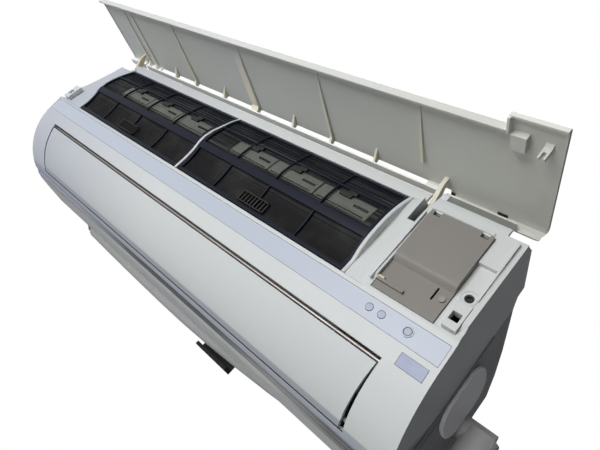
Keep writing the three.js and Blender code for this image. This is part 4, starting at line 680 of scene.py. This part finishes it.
def lay_floor(scene):
    """Square floor that is white to the camera and keeps its own pale tone for other light."""
    mesh = bpy.data.meshes.new("stage_floor")
    signs = ((-1, -1), (1, -1), (1, 1), (-1, 1))
    corners = [(sx * FLOOR_REACH, sy * FLOOR_REACH, FLOOR_UP) for sx, sy in signs]
    mesh.from_pydata(corners, [], [[0, 1, 2, 3]])
    pale = Finish("stage_pale", FLOOR_TONE, 0.9)
    direct = pale.node("ShaderNodeLightPath", out="Is Camera Ray")
    white = pale.node("ShaderNodeEmission", None, {"Color": PURE_WHITE, "Strength": 1.0})
    mixed = pale.node("ShaderNodeMixShader", None,
                      {0: direct, 1: Wire(pale, pale.shader.outputs[0]), 2: white})
    pale.links.new(mixed.socket, pale.nodes["Material Output"].inputs["Surface"])
    mesh.materials.append(pale.material)
    floor = bpy.data.objects.new("stage_floor", mesh)
    scene.collection.objects.link(floor)


def light_world(scene):
    """White to the camera and through clear matter. Elsewhere a dim, faintly cool fill, and in
    reflections a stronger shine, and both are weaker towards the right."""
    world = bpy.data.worlds.new("stage_world")
    world.use_nodes = True
    scene.world = world
    tree = Tree(world.node_tree)
    camera, through, glossy = (tree.node("ShaderNodeLightPath", out=f"Is {kind} Ray")
                               for kind in ("Camera", "Transmission", "Glossy"))
    way = tree.node("ShaderNodeTexCoord", out="Generated")
    right = tree.node("ShaderNodeSeparateXYZ", None, {0: way})
    seen = camera.math("MAXIMUM", through)
    soft = tree.mixed(glossy, right.spread(*FILL_CHANGE), right.spread(*SHINE_CHANGE))
    background = tree.nodes["Background"]
    tree.links.new(tree.tint(seen, COOL_WHITE, PURE_WHITE).socket, background.inputs["Color"])
    tree.links.new(tree.mixed(seen, soft, 1.0).socket, background.inputs["Strength"])


def hang_lamp(scene, name, place, target, size, power):
    """Square lamp at a place, turned towards its target."""
    data = bpy.data.lights.new(name, "AREA")
    data.shape = "SQUARE"
    data.size = size
    data.energy = power
    lamp = bpy.data.objects.new(name, data)
    scene.collection.objects.link(lamp)
    aim = (Vector(target) - Vector(place)).to_track_quat("-Z", "Y")
    lamp.matrix_world = Matrix.Translation(place) @ aim.to_matrix().to_4x4()


def set_camera(scene):
    """Camera at the place and angle of the photograph."""
    lens = bpy.data.cameras.new("photo_camera")
    lens.sensor_width = SENSOR_WIDE
    lens.lens = PICTURE_FOCAL / PICTURE_WIDE * SENSOR_WIDE
    lens.clip_start = 0.01
    camera = bpy.data.objects.new("photo_camera", lens)
    scene.collection.objects.link(camera)
    turn = Euler(in_radians(CAMERA_TURN)).to_matrix().to_4x4()
    camera.matrix_world = Matrix.Translation(CAMERA_PLACE) @ turn
    scene.camera = camera


# Operators

class UNIT_OT_shell(bpy.types.Operator):
    """Finishes of the shell, chassis, intake panel and what is moulded with them"""
    bl_idname = "unit.shell"
    bl_label = "Shell and panel"

    def execute(self, context):
        tones = context.scene.unit_colours
        shell = moulded_plastic("shell_plastic", tuple(tones.shell), 0.5, aged=0.18, dust=0.08,
                                shade=belly_shade)
        white = moulded_plastic("moulding_plastic", tuple(tones.shell), 0.5, aged=0.25, dust=0.14)
        rear = moulded_plastic("chassis_plastic", tuple(tones.shell), 0.52, aged=0.2, dust=0.16,
                               shade=side_shade)
        lid = moulded_plastic("panel_plastic", tuple(tones.panel), 0.5, aged=0.3, dust=0.08,
                              shade=panel_shade)
        cream = moulded_plastic("aged_plastic", tuple(tones.aged), 0.46, aged=0.6, dust=0.2)
        pale_cream = moulded_plastic("arm_plastic", blended(tones.shell, tones.aged, 0.6), 0.46, aged=0.4)
        band = moulded_plastic("band_plastic", tuple(tones.band), 0.4, aged=0.0, dust=0.05, grain=0.04)
        flap = moulded_plastic("flap_plastic", scaled(tones.shell, 0.97), 0.46, aged=0.1, dust=0.06,
                               shade=flap_shade)
        plate = moulded_plastic("side_plate_plastic", tuple(tones.plate), 0.5, aged=0.0, dust=0.1,
                                gloss=0.9)
        dress("front_shell", shell)
        dress("rear_chassis", rear)
        dress("intake_panel", lid)
        dress("panel_hinge_arm_left", cream, edge=0.5 * MM)
        dress("panel_hinge_arm_right", pale_cream, edge=0.5 * MM)
        dress("latch_catch_right", white, edge=0.5 * MM)
        dress("latch_catch_left", white, edge=0.4 * MM)
        dress("accent_band", band)
        dress("air_flap", flap)
        dress("side_knockout_cover", plate, edge=0.6 * MM)
        return {"FINISHED"}


class UNIT_OT_controls(bpy.types.Operator):
    """Lamp lenses, button, receiver window, boards, the electronics bay, screws and hinge pins"""
    bl_idname = "unit.controls"
    bl_label = "Controls and electronics"

    def execute(self, context):
        tones = context.scene.unit_colours
        lens = lens_finish("lens_plastic", blended(tones.band, tones.lens, 0.35))
        for node in ("run_lamp_lens", "timer_lamp_lens"):
            dress(node, lens, edge=0.25 * MM)
        dress("receiver_window", lens_finish("window_plastic", tuple(tones.lens)), edge=0.25 * MM)
        button = moulded_plastic("button_plastic", scaled(tones.band, 0.95), 0.5, aged=0.0)
        dress("emergency_button", button, edge=0.3 * MM)
        cover = moulded_plastic("cover_plastic", tuple(tones.cover), 0.5, aged=0.15, dust=0.15,
                                grain=0.3)
        dress("electronics_cover", cover, edge=0.6 * MM)
        board = circuit_finish("board_resist", linear(46, 104, 70))
        for node in ("display_board", "circuit_board"):
            dress(node, board)
        dress("electrical_box", moulded_plastic("box_plastic", linear(108, 110, 114), 0.5))
        dress("terminal_block", moulded_plastic("block_plastic", linear(34, 34, 36), 0.45))
        varnish = satin_metal("transformer_varnish", linear(140, 112, 74), 0.5)
        dress("transformer", varnish, edge=0.5 * MM)
        steel = satin_metal("plated_steel", linear(190, 192, 196), 0.28)
        for node in ("shell_screw", "panel_hinge_pin_left", "panel_hinge_pin_right"):
            dress(node, steel)
        dress("cover_screw", satin_metal("dull_steel", scaled(tones.cover, 1.1), 0.5))
        return {"FINISHED"}


class UNIT_OT_air_path(bpy.types.Operator):
    """Fan, motors, coil, louver, vanes, drain pan, wall plate and the metal bar across the outlet"""
    bl_idname = "unit.air_path"
    bl_label = "Air path"

    def execute(self, context):
        tones = context.scene.unit_colours
        blades = moulded_plastic("fan_plastic", linear(74, 76, 80), 0.45, aged=0.0, dust=0.5)
        dress("cross_flow_fan", blades)
        zinc = satin_metal("zinc_sheet", linear(176, 178, 182), 0.4)
        for node in ("fan_motor", "flap_motor", "wall_plate", "coil_end_plate_left"):
            dress(node, zinc)
        dress("fan_bearing", foam_rubber("bearing_rubber", linear(40, 40, 42), 0.7))
        dress("drain_pan", foam_rubber("pan_foam", linear(212, 213, 208), 0.9, 500.0))
        dress("inner_louver", moulded_plastic("louver_plastic", linear(150, 152, 156), 0.4))
        dress("outlet_trim_bar", satin_metal("trim_metal", linear(186, 179, 176), 0.5))
        vane = moulded_plastic("vane_plastic", linear(204, 205, 200), 0.42)
        for node in [name for name in NODES if name.startswith("air_vane_")] + ["vane_link_bar"]:
            dress(node, vane)
        fins = finned_metal("fin_stack", tuple(tones.coil), context.scene.unit_sizes.fin_pitch)
        for node in ("coil_front_lower", "coil_front_upper", "coil_rear"):
            dress(node, fins)
        dress("coil_end_plate_right", satin_metal("bend_copper", linear(186, 116, 80), 0.3))
        return {"FINISHED"}


class UNIT_OT_filters(bpy.types.Operator):
    """Curved filter frames with their ribs, the gauze behind them and the cassettes"""
    bl_idname = "unit.filters"
    bl_label = "Filters"

    def execute(self, context):
        tones, sizes = context.scene.unit_colours, context.scene.unit_sizes
        dark = moulded_plastic("filter_plastic", tuple(tones.filters), 0.42, aged=0.0, dust=0.2,
                               grain=0.1, gloss=0.12)
        # Black of the combs and clips, and painted shade in the cassettes' slots
        black = moulded_plastic("comb_plastic_and_slot_shade", tuple(tones.shadow), 0.5, aged=0.0, dust=0.2)
        gauze = woven_mesh("filter_gauze", tuple(tones.mesh), sizes.thread_pitch)
        pale = moulded_plastic("cassette_plastic", tuple(tones.cassette), 0.5, aged=0.2, dust=0.35)
        line = smooth_line(FILTER_LINE, FILTER_STEPS)
        tangent = np.gradient(line, axis=0)
        tangent /= np.linalg.norm(tangent, axis=1)[:, None]
        inward = np.stack([tangent[:, 1], -tangent[:, 0]], 1)
        middle = line + inward * FILTER_DEEP / 2
        height = middle[:, 1]
        foot, head = height[0], height[-1]

        def upright(x, wide):
            """Rib from the foot to the head: a rounded section carried along the filter's curve."""
            path = np.column_stack([np.full(len(middle), x), at(middle[:, 0], middle[:, 1])])
            section = rounded_section(wide, FILTER_DEEP * MM, RIB_CORNER * MM)
            return carried(path, section, across=(1, 0, 0))

        def crossbar(x0, x1, up, tall, proud=0.0, thin=FILTER_DEEP):
            """Straight bar at a height, leaning as the curve does there and standing out by proud."""
            spot = [np.interp(up, height, middle[:, k]) for k in (0, 1)]
            lean = [np.interp(up, height, tangent[:, k]) for k in (0, 1)]
            nose = [np.interp(up, height, inward[:, k]) for k in (0, 1)]
            place = at(spot[0] - nose[0] * proud, spot[1] - nose[1] * proud)
            section = rounded_section(tall * MM, thin * MM, BAR_CORNER * MM)
            return carried([(x0, *place), (x1, *place)], section, across=(0, lean[0], lean[1]))

        for side in ("left", "right"):
            low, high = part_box("filter_frame_" + side)
            x0, x1 = low.x, high.x
            bar, rib = sizes.filter_bar, sizes.filter_rib
            wide = (x1 - x0) / FILTER_COLUMNS
            shapes = [upright(x0 + bar / 2, bar), upright(x1 - bar / 2, bar),
                      crossbar(x0, x1, foot + FOOT_BAR_RISE, FOOT_BAR_TALL),
                      crossbar(x0, x1, head - HEAD_BAR_DROP, HEAD_BAR_TALL),
                      crossbar(x0, x1, MIDDLE_BAR_UP, MIDDLE_BAR_TALL, MIDDLE_BAR_PROUD),
                      crossbar(x0, x1, UPPER_RIB_UP, UPPER_RIB_TALL)]
            shapes += [upright(x0 + wide * k, rib) for k in range(1, FILTER_COLUMNS)]
            shapes += [crossbar(x0, x1, up, STRAND_TALL, -STRAND_SUNK, STRAND_THIN) for up in STRAND_UPS]
            grip = x0 + COMB_ALONG * MM
            comb = [crossbar(grip - COMB_HALF * MM, grip + COMB_HALF * MM, up, RAIL_TALL, RAIL_PROUD,
                             RAIL_THIN) for up in RAIL_UPS]
            comb += [crossbar(grip + (k - TOOTH_HALF) * MM, grip + (k + TOOTH_HALF) * MM, TOOTH_UP,
                              TOOTH_TALL, TOOTH_PROUD, TOOTH_THIN)
                     for k in np.linspace(-COMB_HALF, COMB_HALF, TOOTH_COUNT)]
            build("filter_comb_" + side, comb, black, "unit_base")
            build("filter_lattice_" + side, shapes, dark, "unit_base",
                  ("filter_frame_" + side,))
            back = line + inward * (FILTER_DEEP + GAUZE_GAP)
            grid = np.empty((len(back), GAUZE_COLUMNS, 3))
            grid[..., 0] = np.linspace(x0 + MM, x1 - MM, GAUZE_COLUMNS)
            grid[..., 1:] = at(back[:, 0], back[:, 1])[:, None]
            build("filter_gauze_" + side, [sheet_surface(grid)], gauze, "unit_base",
                  ("filter_mesh_" + side,), smooth=GAUZE_SMOOTH, thick=GAUZE_THICK * MM)
        for k in range(1, CASSETTE_COUNT + 1):
            node = f"air_cleaner_cassette_{k}"
            dress(node, pale)
            low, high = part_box(node)
            along = (low.x + high.x) / 2 / MM
            build(f"cassette_clip_{k}", bricks(CASSETTE_CLIP, along), black, "unit_base")
            # Dark blocks of painted shade in the cassette's slots and groove
            build(f"cassette_slot_shade_{k}", bricks(CASSETTE_SLOT_SHADE + CASSETTE_GROOVE_SHADE, along), black,
                  "unit_base")
        return {"FINISHED"}


class UNIT_OT_fittings(bpy.types.Operator):
    """Small ledges, clips and rims round the filters and the bay, and dark blocks of painted shade in
    slots there, in the panel and in the screw well
    """
    bl_idname = "unit.fittings"
    bl_label = "Small fittings"

    def execute(self, context):
        tones = context.scene.unit_colours
        white = moulded_plastic("fitting_plastic", tuple(tones.shell), 0.5, aged=0.25, dust=0.12)
        cream = moulded_plastic("fitting_cream", tuple(tones.aged), 0.5, aged=0.6, dust=0.25)
        # Painted shade for the slots and the screw well
        black = moulded_plastic("fitting_shade", tuple(tones.shadow), 0.6, aged=0.0, dust=0.2)
        rim = smooth_line(LIP_LINE, LIP_STEPS)
        lip = []
        for along, back, wide, high, corner in LIP_PARTS:
            path = np.column_stack([np.full(len(rim), along * MM), at(rim[:, 0] + back, rim[:, 1])])
            section = rounded_section(wide * MM, high * MM, corner * MM)
            lip.append(carried(path, section, across=(1, 0, 0)))
        build("filter_lip", lip, white, "unit_base")
        build("bay_ledges", bricks(BAY_LEDGES), white, "unit_base")
        build("aged_clips", bricks(COVER_CLIPS), cream, "unit_base")
        # Painted shade in the cover's slot and in the panel's slots
        build("cover_slot_shade", bricks(COVER_SLOT_SHADE), black, "unit_base")
        build("panel_slot_shade", bricks(PANEL_SLOT_SHADE), black, "intake_panel_body")

        def ring(radius, wide, back):
            """Flat ring in the screw well: a small section carried round a circle."""
            turn = np.linspace(0, 2 * np.pi, RING_STEPS)
            y, z = at(back, WELL_UP)
            path = np.column_stack([(WELL_ALONG + radius * np.cos(turn)) * MM,
                                    np.full(RING_STEPS, y), z + radius * MM * np.sin(turn)])
            section = rounded_section(wide * MM, RING_DEEP * MM, RING_CORNER * MM)
            return carried(path, section, across=(0, 1, 0))

        build("well_ring", [ring(RIM_RADIUS, RIM_WIDE, RIM_BACK)], white, "unit_base")
        # Painted shade: a dark ring in the screw well's hole
        build("well_shade", [ring(HOLE_RADIUS, HOLE_WIDE, HOLE_BACK)], black, "unit_base")
        return {"FINISHED"}


class UNIT_OT_pipes(bpy.types.Operator):
    """Insulated pipes, smooth hose, nuts and clamp"""
    bl_idname = "unit.pipes"
    bl_label = "Pipes and hose"

    def execute(self, context):
        foam = foam_rubber("pipe_insulation", linear(176, 178, 178), 0.8)
        brass = satin_metal("turned_brass", linear(206, 176, 108), 0.26)
        for kind in ("gas", "liquid"):
            dress(kind + "_pipe", foam)
            dress(kind + "_flare_nut", brass)
        dress("drain_hose", moulded_plastic("hose_plastic", tuple(context.scene.unit_colours.hose), 0.5))
        clamp = moulded_plastic("clamp_paint", linear(22, 22, 24), 0.5, aged=0.0, dust=0.2, gloss=0.15)
        dress("pipe_clamp", clamp)
        return {"FINISHED"}


class UNIT_OT_stage(bpy.types.Operator):
    """Pale floor, light of the world, soft lamps and the camera at the photographed angle"""
    bl_idname = "unit.stage"
    bl_label = "Stage"

    def execute(self, context):
        scene = context.scene
        scene.view_settings.view_transform = "Standard"
        lay_floor(scene)
        light_world(scene)
        for lamp in LAMPS:
            hang_lamp(scene, *lamp)
        set_camera(scene)
        return {"FINISHED"}


class UNIT_PT_panel(bpy.types.Panel):
    bl_idname = "UNIT_PT_panel"
    bl_label = "Indoor unit"
    bl_space_type = "VIEW_3D"
    bl_region_type = "UI"
    bl_category = "Indoor unit"

    def draw(self, context):
        for group in (context.scene.unit_colours, context.scene.unit_sizes):
            for key in group.__annotations__:
                self.layout.prop(group, key)
        for operator in OPERATORS:
            self.layout.operator(operator.bl_idname)


OPERATORS = (UNIT_OT_shell, UNIT_OT_controls, UNIT_OT_air_path, UNIT_OT_filters, UNIT_OT_fittings,
             UNIT_OT_pipes, UNIT_OT_stage)
CLASSES = (UnitColours, UnitSizes, *OPERATORS, UNIT_PT_panel)


def register():
    for item in CLASSES:
        bpy.utils.register_class(item)
    bpy.types.Scene.unit_colours = bpy.props.PointerProperty(type=UnitColours)
    bpy.types.Scene.unit_sizes = bpy.props.PointerProperty(type=UnitSizes)


def unregister():
    del bpy.types.Scene.unit_sizes
    del bpy.types.Scene.unit_colours
    for item in reversed(CLASSES):
        bpy.utils.unregister_class(item)


def main():
    register()
    bpy.ops.unit.shell()
    bpy.ops.unit.controls()
    bpy.ops.unit.air_path()
    bpy.ops.unit.filters()
    bpy.ops.unit.fittings()
    bpy.ops.unit.pipes()
    bpy.ops.unit.stage()


if __name__ == "__main__":
    main()
